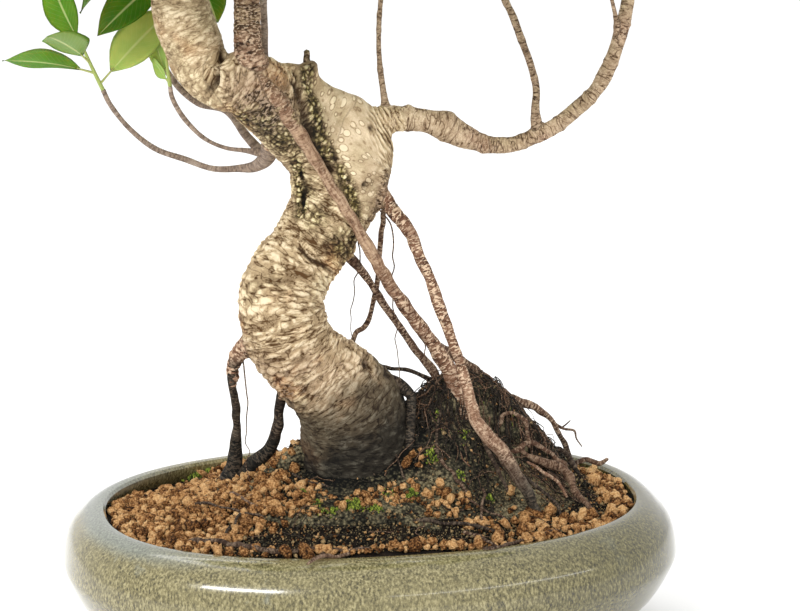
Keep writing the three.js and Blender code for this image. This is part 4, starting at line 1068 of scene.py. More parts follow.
def make_root_ball():
    """The dark ball of soil and fine roots, from its top down to its flat bottom."""
    turn = 2 * math.pi * np.arange(240) / 240
    edge = oval_reach(turn)
    rings = []
    for share in np.linspace(0.02, 1, 58):
        ring = soil_places(BALL_MIDDLE + edge * BALL * share)
        rough = fade(share, 1.0, 0.9)
        crumbs = 3.0 * layered(ring, 13.0, 11, 3) + 1.2 * layered(ring, 3.4, 17, 2)
        ring[:, 2] += crumbs * (0.35 + 0.65 * rough)
        rings.append(ring)
    for offset, z in ((-1, 82), (-3, 70), (-12, 56), (-20, BALL_BOTTOM)):
        rings.append(at_height(BALL_MIDDLE + edge * (BALL + offset), z))
    top, bottom = [*BALL_MIDDLE, soil_height(*BALL_MIDDLE)], [*BALL_MIDDLE, BALL_BOTTOM]
    places, quads, fans = closed_rings(rings, top, bottom)
    tone = 0.5 + 0.5 * noise(places, 14.0, 3) - 0.7 * by_the_foot(*places.T[:2])
    skin = Skin()
    skin.add(places, quads[:, ::-1], fans[:, ::-1], tone=tone)
    soil = soil_finish("dark_soil", 420.0, 1.6, (0.27, 12, 12, 9), (0.42, 66, 62, 48),
                       (0.56, 130, 120, 92), (0.78, 186, 172, 136))
    return dress(skin.made("root_ball_soil"), soil, "soil", "root_ball")


def make_peat():
    """Black soil heaped round the roots, with a rough surface."""
    limbs = [Limb(route, 3.0) for route in PEAT]
    piece = grown_together("peat_heap", limbs, coarse=2.2, fine=1.2, rounds=4, sides=18)
    places, normals = read_mesh(piece.data)
    push = 2.2 * layered(places, 6.5, 33, 3) + 0.8 * layered(places, 2.8, 37, 1)
    write_places(piece, places + normals * push[:, None])
    set_values(piece.data, tone=0.5 + 0.5 * noise(places, 9.0, 4))
    piece.data.shade_smooth()
    return dress(piece, bpy.data.materials["dark_soil"], "soil")


def make_akadama_bed():
    """The bed of crushed clay round the root ball, filling the pot; its clay is much darker than the
    grains, painted shade in the gaps between them.
    """
    turn = 2 * math.pi * np.arange(260) / 260
    edge = oval_reach(turn)
    inner, outer = BALL_MIDDLE + edge * (BALL + 0.3), edge * (MOUTH - 0.6)
    bottom = BALL_BOTTOM - 0.3
    rings = [at_height(BALL_MIDDLE + edge * (BALL - 20), bottom),
             at_height(BALL_MIDDLE + edge * (BALL - 3), 70)]
    for share in np.linspace(0, 1, 30):
        ring = soil_places(inner + (outer - inner) * share)
        crumbs = 1.3 * layered(ring, 8.0, 21, 3) + 0.9 * layered(ring, 3.6, 27, 2) - 1.0
        ring[:, 2] += crumbs * float(fade(share, 0.0, 0.08))
        rings.append(ring)
    for offset, z in outline_curve(INNER_OUTLINE, 2):
        rings.append(at_height(edge * (MOUTH + offset - 0.4), max(z, POT_FLOOR + 0.3)))
    places, quads, fans = closed_rings(rings, [*BALL_MIDDLE, bottom], [0, 0, POT_FLOOR + 0.3])
    skin = Skin()
    skin.add(places, quads[:, ::-1], fans[:, ::-1], tone=0.35 + 0.5 * noise(places, 12.0, 5))
    # Near-black clay: painted shade where the bed shows between the grains.
    clay = soil_finish("clay_bed", 400.0, 1.4, (0.3, 12, 9, 6), (0.55, 36, 26, 18), (0.85, 86, 62, 42))
    return dress(skin.made("clay_bed"), clay, "akadama", "akadama_bed")


def crumb():
    """A tiny eight-sided lump."""
    points = 0.55 * np.concatenate([np.eye(3), -np.eye(3)])
    faces = [[a, b, c] for a in (0, 3) for b in (1, 4) for c in (2, 5)]
    faces = [face if np.linalg.det(points[face]) > 0 else face[::-1] for face in faces]
    return points, np.array(faces)


def clump():
    """A rounded clump with few faces: a cube whose faces are cut once and puffed out."""
    bpy.ops.object.select_all(action="DESELECT")
    bpy.ops.mesh.primitive_cube_add(size=1.0)
    cube = bpy.context.object
    bpy.ops.object.mode_set(mode="EDIT")
    bpy.ops.mesh.select_all(action="SELECT")
    bpy.ops.mesh.subdivide(number_cuts=1)
    bpy.ops.transform.tosphere(value=0.86)
    bpy.ops.object.mode_set(mode="OBJECT")
    places = np.array([v.co for v in cube.data.vertices], float)
    quads = np.array([p.vertices[:] for p in cube.data.polygons])
    bpy.data.objects.remove(cube)
    return places, quads


def turned(count, random):
    """Random turns, as 3 by 3 arrays."""
    q = random.normal(size=(count, 4))
    w, x, y, z = (q / np.linalg.norm(q, axis=1, keepdims=True)).T
    return np.stack([
        np.stack([1 - 2 * (y * y + z * z), 2 * (x * y - z * w), 2 * (x * z + y * w)], -1),
        np.stack([2 * (x * y + z * w), 1 - 2 * (x * x + z * z), 2 * (y * z - x * w)], -1),
        np.stack([2 * (x * z - y * w), 2 * (y * z + x * w), 1 - 2 * (x * x + y * y)], -1)], 1)


def grain_share(x, y):
    """How thickly the clay grains lie at a place."""
    share = 0.02
    for middle_x, middle_y, reach_x, reach_y, weight in GRAIN_PLACES:
        far = ((x - middle_x) / reach_x) ** 2 + ((y - middle_y) / reach_y) ** 2
        share = share + weight * np.exp(-far)
    return np.clip(share, 0, 1)


def scattered(count, random, spread, keep, margin, cell_size=8):
    """Places inside the mouth and off the trunk that keep their distance, with a radius each.

    The share of clay grains at a place says, by the rule keep, how often a place is kept.
    """
    grid, places = defaultdict(list), []
    tries = random.uniform(-1, 1, size=(count, 2)) * (MOUTH - 5)
    sizes = spread(random.uniform(size=count))
    inside = (np.abs(tries / (MOUTH - 4)) ** OVAL_POWER).sum(1) < 1
    odds = random.uniform(size=count) < keep(grain_share(tries[:, 0], tries[:, 1]))
    for (x, y), radius in zip(tries[inside & odds], sizes[inside & odds]):
        cell = (int(x // cell_size), int(y // cell_size))
        near = [n for dx in (-1, 0, 1) for dy in (-1, 0, 1) for n in grid[cell[0] + dx, cell[1] + dy]]
        if all((x - a) ** 2 + (y - b) ** 2 > (0.93 * (radius + r)) ** 2 for a, b, r in near):
            grid[cell].append((x, y, radius))
            places.append((x, y, radius))
    places = np.array(places)
    return places[np.hypot(places[:, 0] - FOOT_X, places[:, 1]) >= FOOT_RADIUS + margin]


def by_the_foot(x, y):
    """1 on the ground close to the trunk's foot, and 0 far from it; the soil is made darker there."""
    return np.exp(-((np.hypot(x - FOOT_X, y) - 28) / 20) ** 2)


@functools.cache
def peat_balls():
    """Balls along the heaped black soil, as rows of x, y, z and radius."""
    return np.concatenate([smooth_line(route, 3.0)[0] for route in PEAT])


def ground(x, y):
    """Height of what lies uppermost at each place: the soil, or the black soil heaped on it."""
    middle_x, middle_y, z, radius = peat_balls()[:, :4].T
    inside = radius ** 2 - np.subtract.outer(x, middle_x) ** 2 - np.subtract.outer(y, middle_y) ** 2
    over = np.where(inside > 0, z + np.sqrt(np.maximum(inside, 0)), -1e3).max(-1)
    return np.maximum(soil_height(x, y), over)


def heaped_clumps(name, shape, places, lift, random, material, slot, shift=0.0):
    """Lays one clump or crumb, turned and dented its own way, at each [x, y, radius].

    Its middle lies at the lift, in radii, over the ground, and the shift changes its tone.
    """
    base, quads = shape
    count = len(places)
    turns = turned(count, random)
    stretch = random.uniform(0.62, 1.15, size=(count, 1, 3))
    dents = 1 + 0.22 * random.normal(size=(count, len(base), 1)).clip(-1.5, 1.5)
    shapes = np.einsum("nij,nkj->nki", turns, 2 * base[None] * stretch * dents)
    x, y = places[:, 0], places[:, 1]
    middles = np.stack([x, y, ground(x, y) + places[:, 2] * lift], 1)
    points = middles[:, None] + shapes * places[:, 2][:, None, None]
    faces = quads[None] + len(base) * np.arange(count)[:, None, None]
    skin = Skin()
    tone = np.repeat(random.uniform(size=count) + shift, len(base))
    skin.add(points.reshape(-1, 3), faces.reshape(-1, faces.shape[-1]), tone=tone)
    return dress(skin.made(name), material, slot)


def make_grains():
    """Clay grains of three sizes where the photograph shows them, and dark crumbs between."""
    random = np.random.default_rng(7)
    clay = soil_finish("clay_grains", 620.0, 1.5, (0.2, 38, 20, 8), (0.35, 120, 78, 40),
                       (0.49, 192, 142, 90), (0.66, 228, 184, 128), (0.92, 244, 212, 166))
    big = scattered(36000, random, lambda u: 1.35 + 2.0 * u ** 2.6, lambda share: share ** 1.4, 2)
    half = len(big) // 2
    heaped_clumps("clay_grains_a", clump(), big[:half], 0.4, random, clay, "akadama")
    heaped_clumps("clay_grains_b", clump(), big[half:], 0.85, random, clay, "akadama")
    small = scattered(20000, random, lambda u: 0.5 + 0.9 * u ** 1.6, lambda share: 0.12 + 0.88 * share, 1)
    heaped_clumps("clay_crumbs", crumb(), small, 0.5, random, clay, "akadama", -0.15)
    soil = soil_finish("dark_crumbs", 700.0, 0.8, (0.24, 13, 12, 9), (0.4, 70, 64, 50),
                       (0.55, 132, 116, 84), (0.7, 186, 154, 108), (0.95, 220, 186, 136))
    dark = scattered(60000, random, lambda u: 0.45 + 1.5 * u ** 4, lambda share: 1 - 0.8 * share, 0)
    darker_by_foot = -0.6 * by_the_foot(*dark.T[:2])
    heaped_clumps("dark_crumbs", crumb(), dark, 0.35, random, soil, "soil", darker_by_foot)


def make_moss():
    """Cushions of short pointed blades."""
    random = np.random.default_rng(11)
    skin = Skin()
    turn = 2 * math.pi * np.arange(3) / 3
    for x, y, reach, share in MOSS_PLACES:
        count = int(12 * share * reach ** 1.5)
        spread = random.normal(size=(count, 2)) * reach * 0.42
        spots = np.array([x, y]) + spread
        foot = np.column_stack([spots, ground(*spots.T)])
        dome = np.exp(-(spread ** 2).sum(1) / (0.6 * reach) ** 2)
        foot[:, 2] += 1.8 * dome - 0.2
        leans, tones = random.normal(size=(count, 3)), random.uniform(size=count)
        for place, lean, tall, tone in zip(foot, leans, dome, tones):
            way = unit(np.array([0, 0, 1.3]) + 0.55 * lean)
            across = unit(np.cross(way, [1.0, 0.2, 0.1]))
            over = np.cross(way, across)
            width = 0.42 + 0.2 * tone
            ring = place + width * (np.outer(np.cos(turn), across) + np.outer(np.sin(turn), over))
            mid = ring + way * (0.6 + 0.7 * tall)
            tip = place + way * (1.3 + 1.3 * tall)
            points = np.concatenate([ring, mid, [place - way * 0.4], [tip]])
            quads, fans = ring_faces(2, 3)
            skin.add(points, quads, fans, tone=tone)
    return dress(skin.made("moss"), moss_finish(), "leaf")


# Bark

# How many points of each root grow together with the trunk.
ROOT_STUMPS = {"crossing": 4, "right": 4, "prop_left": 4, "prop_back": 3, "hugging": 3}
# Places of the leader, the front stem and the first root among the grain lines.
LEADER_LINE = 2
STEM_LINE = 3
FIRST_ROOT_LINE = 6


def trunk_limbs():
    """The limbs that the trunk's skin is drawn over."""
    fill = [[-40, 3, 322, 14], [-32, 5, 325, 11.5], [-26, 6, 319, 13], [-17, 8, 313, 13.5],
            [-10, 9, 303, 13]]
    lump = [[-35, 4, 331, 9.0], [-33.5, 4, 338, 6.2], [-32.4, 4, 345, 4.2]]
    saddle = [[-62, 0, 336, 10], [-54, 1, 335, 9.5], [-46, 2, 336, 9.0], [-39, 3, 334, 10]]
    stumps = [AERIAL_ROOTS[name][:count] for name, count in ROOT_STUMPS.items()]
    routes = [TRUNK, SHOULDER, LEADER, FRONT_STEM, KNOB, STRUT, lump, fill, saddle, *stumps,
              RIGHT_BRANCH[0][:4], LOW_BRANCH[0][:3]]
    return [Limb(route, 2.0) for route in routes]


def grain_lines():
    """The lines that the bark's grain follows: up the trunk into the right branch, and so on."""
    up_the_trunk = TRUNK[:15] + [[-8, 9, 297, 22], [2, 9, 304, 13], [14, 9, 309, 8.5]]
    routes = [up_the_trunk, SHOULDER[2:], LEADER, FRONT_STEM, STUB, STRUT, AERIAL_ROOTS["crossing"][:4],
              AERIAL_ROOTS["prop_left"][:4], AERIAL_ROOTS["prop_back"][:3], LOW_BRANCH[0][:3],
              AERIAL_ROOTS["right"][:5], AERIAL_ROOTS["hugging"][:3]]
    return [Limb(route, 3.0, 1000.0 * k) for k, route in enumerate(routes)]


def head_share(places):
    """1 on the smooth warty head of the trunk, 0 elsewhere."""
    wander = 5 * noise(places, 14.0, 41)
    share = fade(places[:, 2] + 0.5 * places[:, 0] + wander, 250, 276)
    return share * fade(places[:, 0] + 0.35 * (places[:, 2] - 300) + 0.5 * wander, -34, -24) * fade(
        places[:, 0] + 0.6 * wander, 6, -4)


def trunk_relief(flat, warty):
    """Height of the bark from 0 to 1: raised plates over wavy ridges, nearly smooth where warty."""
    warp = np.stack([noise(flat, (16.0, 16.0, 11.0), 40 + k) for k in range(3)], 1)
    bent = flat + warp * [3.0, 3.0, 3.4]
    ridge = ridges(bent, 18.0, 4.6, 60) * (0.46 + 0.32 * ridges(bent + 50.0, 9.5, 3.0, 66)
                                          + 0.22 * ridges(bent + 90.0, 5.0, 2.0, 72))
    inside, own = plates(bent + 0.5 * noise(flat, 2.4, 156)[:, None], (10.5, 10.5, 2.6), 150)
    raised = np.clip(4.5 * (inside - 0.1), 0, 1) ** 0.8 * fade(own, 0.14, 0.2) * (0.66 + 0.34 * own)
    ridge = 0.3 * ridge + 0.7 * (0.06 + 0.94 * raised)
    smooth = 0.55 + 0.12 * noise(flat, 2.6, 44) + 0.12 * noise(flat, (9.0, 9.0, 3.4), 48)
    return ridge + (smooth - ridge) * warty


def marked(places, push):
    """The push with the trunk's pits, bulges and grooves in it, and how much painted shade goes into its
    pits and grooves.
    """
    dark = np.zeros(len(places))
    for x, y, z, radius, tall in TRUNK_MARKS:
        far = np.linalg.norm((places - [x, y, z]) * [1.0, 0.4, 1.0], axis=1) / radius
        push = push + tall * np.exp(-far ** 2)
        if tall < 0:
            push = push - 0.45 * tall * np.exp(-((far - 1.7) / 0.55) ** 2)
            dark = np.maximum(dark, np.exp(-(far / 0.9) ** 2))
    for width, depth, points in TRUNK_GROOVES:
        near = near_line(places, points, width)
        push = push - depth * near
        dark = np.maximum(dark, near)
    return push, dark


def make_trunk():
    """The trunk, shoulder, leader and front stem as one skin with its bark, parted into three."""
    lines = grain_lines()
    piece = grown_together("trunk", trunk_limbs(), coarse=1.8, fine=0.9, rounds=5)
    places, normals = read_mesh(piece.data)
    first, second, share, owner = straightened(places, lines)
    height = places[:, 2]
    thin = np.isin(owner, (LEADER_LINE, STEM_LINE))
    warty = np.maximum(head_share(places), np.where(owner == LEADER_LINE, 0.4, 0))
    relief = trunk_relief(first, warty)
    border = share < 0.995
    other = trunk_relief(second[border], warty[border])
    relief[border] = relief[border] * share[border] + other * (1 - share[border])
    beside = np.hypot((places[:, 0] - 8) / 10.5, (height - 310) / 13)
    turned_rings = 0.5 + 0.5 * np.sin((places[:, 0] + 0.6 * height + 1.6 * noise(places, 6.0, 160)) * 2.3)
    relief += (turned_rings - relief) * 0.8 * np.exp(-beside ** 4)
    olive = 0.3 * fade(noise(places, 22.0, 30) + 0.5 * noise(places, 9.0, 31), 0.1, 0.7)
    olive = raised_to(olive, places, [[*spot, 0.95] for spot in MOSSY_PLACES])
    for width, points in MOSSY_STRIPS:
        olive = np.maximum(olive, np.clip(1.3 * near_line(places, points, width), 0, 1))
    cobble, own = plates(places + 0.8 * noise(places, 3.0, 46)[:, None], 3.1, 90)
    cobble = np.clip(2.2 * cobble, 0, 1) ** 0.8 * (0.65 + 0.5 * own) - 0.12
    relief += (cobble - relief) * 0.85 * fade(olive, 0.35, 0.75)
    level = height - 0.62 * places[:, 0] + 5 * noise(places, 11.0, 5) + 5 * noise(places, 4.0, 7)
    foot = 0.8 * fade(level, 192, 162) + 0.2 * fade(level, 164, 134)
    rough = np.clip(0.42 + 0.75 * layered(first, (4.2, 4.2, 1.8), 170, 3), -0.3, 1.1)
    relief += (rough - relief) * 0.75 * foot
    depth = np.where(thin, 0.7, 1.0) * (1.5 - 0.5 * fade(height, 236, 268)) * (1 - 0.5 * foot)
    push = (relief - 0.5) * depth
    push += 1.2 * layered(places, 30.0, 8, 2) + 0.5 * layered(first, (9.0, 9.0, 6.0), 9, 2)
    push += foot * (0.8 * layered(places, 6.5, 12, 3) + 0.45 * noise(places, 2.0, 17))
    push, dark = marked(places, push)
    write_places(piece, places + normals * push[:, None])
    # Pits and grooves are darkened with painted shade: in the relief here, and in the soot below.
    relief = relief - 0.7 * dark
    rust = np.select([owner == STEM_LINE, owner >= FIRST_ROOT_LINE], [0.9, 0.8], 0)
    rust = rust + 0.35 * fade(height, 200, 170) * (1 - foot)
    rust = raised_to(rust, places, [[*spot, 0.9] for spot in RUSTY_PLACES])
    # Near-black soot and soil on the foot, with painted shade in the pits, the grooves and the dusky
    # places.
    soot = raised_to(np.maximum(0.97 * foot, 0.7 * dark), places, DUSKY_PLACES)
    set_values(piece.data, bark=first * MM, relief=np.clip(relief, -0.4, 1), olive=olive, soot=soot,
               rust=np.clip(rust, 0, 1), calm=warty)
    piece.data.shade_smooth()
    material = bark("trunk_bark", (84, 58, 30), (187, 163, 127), (236, 217, 183), stretch=2.3,
                    cracked=0.9, warty=True)
    keep_normals(piece)
    upper = split_above(piece, PARTED_AT[0])
    top = split_above(upper, PARTED_AT[1])
    dress(piece, material, "trunk_bark", "trunk")
    dress(upper, material, "trunk_bark", "trunk", "stem_front")
    dress(top, material, "trunk_bark", "trunk", "stem_front")
    piece.name, upper.name, top.name = "trunk_foot", "trunk_head", "leader_top"


def keep_normals(piece):
    """Fixes a mesh's normals, so that the shading runs on where it is parted."""
    normals = fetched(piece.data.vertex_normals, "vector")
    piece.data.normals_split_custom_set_from_vertices(normals.tolist())


def split_above(piece, height):
    """Parts a mesh: what lies above a height becomes a new object."""
    pick_only(piece)
    before = set(bpy.data.objects)
    bpy.ops.object.mode_set(mode="EDIT")
    bpy.ops.mesh.select_mode(type="FACE")
    bpy.ops.mesh.select_all(action="DESELECT")
    bpy.ops.object.mode_set(mode="OBJECT")
    polygons = piece.data.polygons
    polygons.foreach_set("select", fetched(polygons, "center")[:, 2] > height * MM)
    bpy.ops.object.mode_set(mode="EDIT")
    bpy.ops.mesh.separate(type="SELECTED")
    bpy.ops.object.mode_set(mode="OBJECT")
    return next(piece for piece in bpy.data.objects if piece not in before)


def rooty(salt, size):
    """Relief of a root's skin: rings across it and lumps."""
    def relief(flat):
        rings = layered(flat, (5.0, 5.0, 2.2), salt, 2) * 0.14
        lumps = layered(flat, 12.0, salt + 5, 2) * 0.5
        return size * (rings + lumps)
    return relief


def add_tube(skin, limb, sides, relief, soot, rust, olive=0.0, calm=0.0):
    """Adds a limb to a skin with all the values that the bark finishes read, or rules for them."""
    places, quads, fans, flat = limb.tube(sides, relief, 0.6)
    level = np.clip(0.5 + 0.4 * layered(flat, (4.5, 4.5, 1.8), 91, 2), 0, 1)
    values = {"soot": soot, "rust": rust, "olive": olive, "calm": calm}
    values = {name: value(places) if callable(value) else value for name, value in values.items()}
    skin.add(places, quads, fans, bark=flat * MM, relief=level, **values)


def root_soot(base, prop, places):
    """How black a root is: by its own share, and where it nears the soil, higher up on a prop."""
    height = places[:, 2]
    dirty = 0.97 * fade(height + 8 * noise(places, 12.0, 6), 150, 98)
    if not prop:
        return np.maximum(base, dirty)
    return np.maximum(np.maximum(dirty, fade(height, 150, 122)), base * fade(height, 186, 172))


def make_aerial_roots():
    """The roots that hang from the trunk to the soil, and the thin hairs beside them."""
    skin = Skin()
    random = np.random.default_rng(5)
    smooth = {"crossing": lambda p: 0.8 * fade(p[:, 2], 212, 245) * fade(p[:, 2], 322, 296),
              "right": lambda p: 0.6 * fade(p[:, 2], 175, 150)}
    red = {"crossing": lambda p: 0.95 - 0.45 * fade(p[:, 2], 200, 240)}
    for k, (name, route) in enumerate(AERIAL_ROOTS.items()):
        prop = name.startswith("prop")
        limb = Limb(crooked(route, random, 0.15 if prop else 0.3, 0.05), 0.9, 500.0 * k + 30)
        soot = functools.partial(root_soot, SOOTY_ROOTS.get(name, 0.0), prop)
        rough = 0.55 if name == "crossing" else min(1.0, route[3][3] / 3.2)
        add_tube(skin, limb, 14, rooty(k, rough), soot, red.get(name, 0.95), calm=smooth.get(name, 0.0))
    stub = [[-34.6, 4, 341, 2.6], [-35.2, 4, 346.5, 1.9], [-35.0, 4, 349, 1.6], [-35.2, 4, 351, 1.5]]
    add_tube(skin, Limb(stub, 0.7, 6000.0), 12, rooty(9, 0.6), 0.5, 0.6, 0.6)
    for k, points in enumerate(HAIRS):
        line, _ = smooth_line([[*p, 0.45] for p in points], 6.0)
        line[:, :3] += random.normal(size=(len(line), 3)) * 0.8
        line[:, 3] = np.linspace(0.5, 0.22, len(line))
        add_tube(skin, Limb(line, 2.0, 7000.0 + 300 * k), 6, None, 0.6, 0.9)
    piece = skin.made("aerial_roots")
    material = bark("root_bark", (58, 40, 28), (122, 94, 72), (186, 160, 128), stretch=2.6,
                    bumps=0.5, flaky=0.95, cracked=0.5)
    return dress(piece, material, "trunk_bark", "trunk")


def make_right_branch():
    """The long bare branch to the right with its three upright twigs."""
    limbs = [Limb(route, 1.5, 300.0 * k) for k, route in enumerate(RIGHT_BRANCH)]
    piece = grown_together("right_branch", limbs, coarse=0.95, fine=0.8, rounds=3, sides=16)
    places, normals = read_mesh(piece.data)
    first, second, share, owner = straightened(places, limbs)

    def skin_relief(flat):
        plate, own = plates(flat + 1.2 * noise(flat, 7.0, 3)[:, None], (4.6, 4.6, 2.3), 80)
        return 0.35 + 0.45 * np.clip(plate * 2.3, 0, 1) ** 0.7 * (0.6 + 0.4 * own)

    relief = skin_relief(first) * share + skin_relief(second) * (1 - share)
    thick = np.where(owner == 0, 1.0, 0.4)
    push = thick * (0.5 * (relief - 0.5) + 0.55 * layered(first, (12.0, 12.0, 9.0), 14, 2))
    push += thick * 0.5 * np.exp(-((first[:, 2] % 23.0 - 11.0) / 1.6) ** 2)
    for x, z, radius, tall in BRANCH_KNOTS:
        far = np.hypot(places[:, 0] - x, places[:, 2] - z) / radius
        push += tall * np.exp(-far ** 2) * (owner == 0)
    write_places(piece, places + normals * push[:, None])
    rust = fade(places[:, 0], 10, 60) * 0.2 + np.where(owner > 0, 0.3, 0)
    for x, z, reach in RUSTY_KNOTS:
        far = (places[:, 0] - x) ** 2 + (places[:, 2] - z) ** 2
        rust = np.maximum(rust, 0.8 * np.exp(-far / reach ** 2))
    olive = 0.3 * fade(noise(places, 20.0, 4), 0, 0.6)
    set_values(piece.data, bark=first * MM, relief=relief, olive=olive,
               soot=np.where(owner > 0, 0.22, 0.0), rust=np.clip(rust, 0, 1))
    piece.data.shade_smooth()
    material = bark("right_branch_bark", (88, 64, 42), (170, 146, 116), (226, 205, 174), stretch=2.0,
                    bumps=0.5, flaky=0.9, cracked=0.8)
    return dress(piece, material, "branch_bark", "branch_right")


def spray_end(index):
    """Where a spray of the crown ends and which way it points, by the part's rule."""
    height = 1 - (index + 0.5) / CROWN_SPRAYS * (1 - CROWN_LOWEST)
    across = math.sqrt(1 - height * height)
    turn = index * GOLDEN_TURN
    out = np.array([across * math.cos(turn), across * math.sin(turn), height])
    reach = 1 + 0.12 * (chance(index + 3) - 0.5)
    way = unit(np.array([out[0], out[1], 0.8 * max(out[2], 0) + 0.3]))
    return out * CROWN_REACH * reach + CROWN_MIDDLE, way


def merged_places(node):
    """A CAD node's places in millimetres with its doubles merged, and its triangles."""
    mesh = frame["nodes"][node].data
    places = fetched(mesh.vertices, "co").astype(float) / MM
    mesh.calc_loop_triangles()
    triangles = fetched(mesh.loop_triangles, "vertices", np.int32)
    _, first, back = np.unique(np.round(places, 2), axis=0, return_index=True, return_inverse=True)
    return places[first], back.reshape(-1)[triangles].reshape(-1, 3)


def twig_routes():
    """The route of each crown twig, found again by the part's rule and its ring in the part."""
    lines = {"trunk": [LEADER], "branch_right": RIGHT_BRANCH, "stem_front": [FRONT_STEM],
             "shoot_back": BACK_SHOOT, "branch_low_left": LOW_BRANCH, **UPPER_BRANCHES}
    points = [(node, point) for node, routes in lines.items() for route in routes for point in route]
    anchors = [(node, np.array(point[:3], float), point[3]) for node, point in points
               if point[2] > LOWEST_TWIG and point[3] < THICKEST_BRANCH]
    solid = {node: merged_places(node)[0] for node in lines}
    routes = []
    for index in range(CROWN_SPRAYS):
        end, way = spray_end(index)
        start = end - SPRAY_LENGTH * way
        cost = [np.linalg.norm(at - start) + 2 * max(0, at[2] - start[2] + 6) for _, at, _ in anchors]
        for pick in np.argsort(cost, kind="stable"):
            node, at, radius = anchors[pick]
            far = np.linalg.norm(at - start)
            bend = start - 0.3 * far * way
            middle = (at + bend) / 2 - [0, 0, 0.06 * far]
            thick = min(0.7 * radius, TWIG_RADIUS + far / 90)
            half = (thick + TWIG_RADIUS) / 2
            ring = np.linalg.norm(solid[node] - middle, axis=1)
            if (np.abs(ring - half) < 0.12).sum() >= 3:
                break
        route = [[*at, thick], [*middle, half], [*bend, TWIG_RADIUS], [*start, TWIG_RADIUS]]
        routes.append((node, route))
    return routes


def make_thin_branches(twigs):
    """The low left branch, the back shoot and the upper branches, each with its twigs."""
    material = bark("branch_bark", (78, 66, 57), (142, 127, 114), (204, 191, 175), stretch=2.0,
                    bumps=0.4, flaky=0.8, cracked=0.4)
    lines = {"branch_low_left": LOW_BRANCH, "shoot_back": BACK_SHOOT, **UPPER_BRANCHES}
    extra = {"trunk": "leader_twigs", "stem_front": "leader_twigs", "branch_right": "right_twigs"}
    skins = defaultdict(Skin)
    for k, (node, routes) in enumerate(lines.items()):
        for n, route in enumerate(routes):
            sides = 16 if route[0][3] > 5 else 10
            limb = Limb(route, 1.1, 100.0 * n + 900 * k)
            add_tube(skins[node], limb, sides, rooty(30 + k, 0.45), 0.1, 0.25)
    for index, (node, route) in enumerate(twigs):
        limb = Limb(route, 2.2, 60.0 * index)
        add_tube(skins[extra.get(node, node)], limb, 7, rooty(50 + index, 0.25), 0.15, 0.3)
    for name, skin in skins.items():
        node = {"right_twigs": "branch_right", "leader_twigs": "trunk"}.get(name, name)
        dress(skin.made(name + "_wood"), material, "branch_bark", node)


# Roots on the soil

def crooked(route, random, sway, swell=0.14):
    """A route with small kinks put into it."""
    line, _ = smooth_line(route, 5.0)
    line[1:-1, :3] += random.normal(size=(len(line) - 2, 3)) * sway
    line[:, 3] *= 1 + swell * random.normal(size=len(line)).clip(-2, 2)
    return line


def make_surface_roots():
    """Roots that leave the trunk's foot and the heap and run over the soil."""
    random = np.random.default_rng(31)
    skin = Skin()
    for k, (thick, thin, points) in enumerate(SURFACE_ROOTS):
        route = []
        for n, (x, y, lift) in enumerate(points):
            radius = 0.8 * (thick + (thin - thick) * n / (len(points) - 1))
            route.append([x, y, float(soil_height(x, y)) + lift + 0.3 * radius, radius])
        limb = Limb(crooked(route, random, 0.5), 1.1, 200.0 * k)
        soot = 0.45 + 0.45 * chance(k + 5)
        add_tube(skin, limb, 9, rooty(k + 100, 0.5 * min(1, thick / 2.4)), soot, 0.9)
    for k, (soot, route) in enumerate(FAN_ROOTS):
        limb = Limb(crooked(route, random, 0.45), 1.0, 6000 + 200.0 * k)
        rust = 0.4 if soot == 0.2 else 0.9
        add_tube(skin, limb, 9, rooty(k + 140, 0.5 * min(1, route[1][3] / 1.6)), soot, rust)
    piece = skin.made("surface_roots")
    material = bark("soil_root_bark", (34, 23, 16), (84, 62, 46), (148, 122, 96), stretch=2.4,
                    bumps=0.4, flaky=0.6, cracked=0.4)
    return dress(piece, material, "trunk_bark")


def make_fibres():
    """Fine roots that cling to the heap and lie on the soil."""
    random = np.random.default_rng(23)
    skin = Skin()
    for k in range(FIBRES):
        angle = random.uniform(-math.pi, math.pi)
        if k < HEAP_FIBRES:
            spot = np.array([random.uniform(22, 112), 12 * random.normal() - 8])
        else:
            spot = np.array([random.uniform(-130, 140), random.uniform(-92, 60)])
        length, radius = random.uniform(9, 30), random.uniform(0.16, 0.42)
        loose = random.uniform(0, 1) ** 4 * 5
        route = []
        for step in np.linspace(0, 1, 7):
            x, y = spot
            spread = random.normal(size=3) * [0.8, 0.8, 0.4]
            lift = 0.35 + loose * math.sin(math.pi * step) + abs(spread[2])
            height = float(ground(x, y)) + lift
            route.append([x + spread[0], y + spread[1], height, radius * (1.2 - 0.7 * step)])
            angle += random.normal() * 0.45
            spot = spot + np.array([math.cos(angle), math.sin(angle)]) * length / 6
        if (np.abs(spot / (MOUTH - 8)) ** OVAL_POWER).sum() > 1:
            continue
        soot = 0.95 if random.uniform() < 0.72 else random.uniform(0.0, 0.6)
        add_tube(skin, Limb(route, 3.2, 90.0 * k), 4, None, soot, random.uniform(0.2, 0.9))
    piece = skin.made("fine_roots")
    return dress(piece, bpy.data.materials["soil_root_bark"], "trunk_bark")


# Leaves

# How wide a leaf is, as shares of its widest, at shares of its length.
LEAF_WIDTHS = ([0, 0.1, 0.2, 0.33, 0.46, 0.58, 0.7, 0.8, 0.88, 0.95, 1.0],
               [0.05, 0.45, 0.8, 1.0, 1.03, 0.97, 0.84, 0.66, 0.44, 0.19, 0.02])


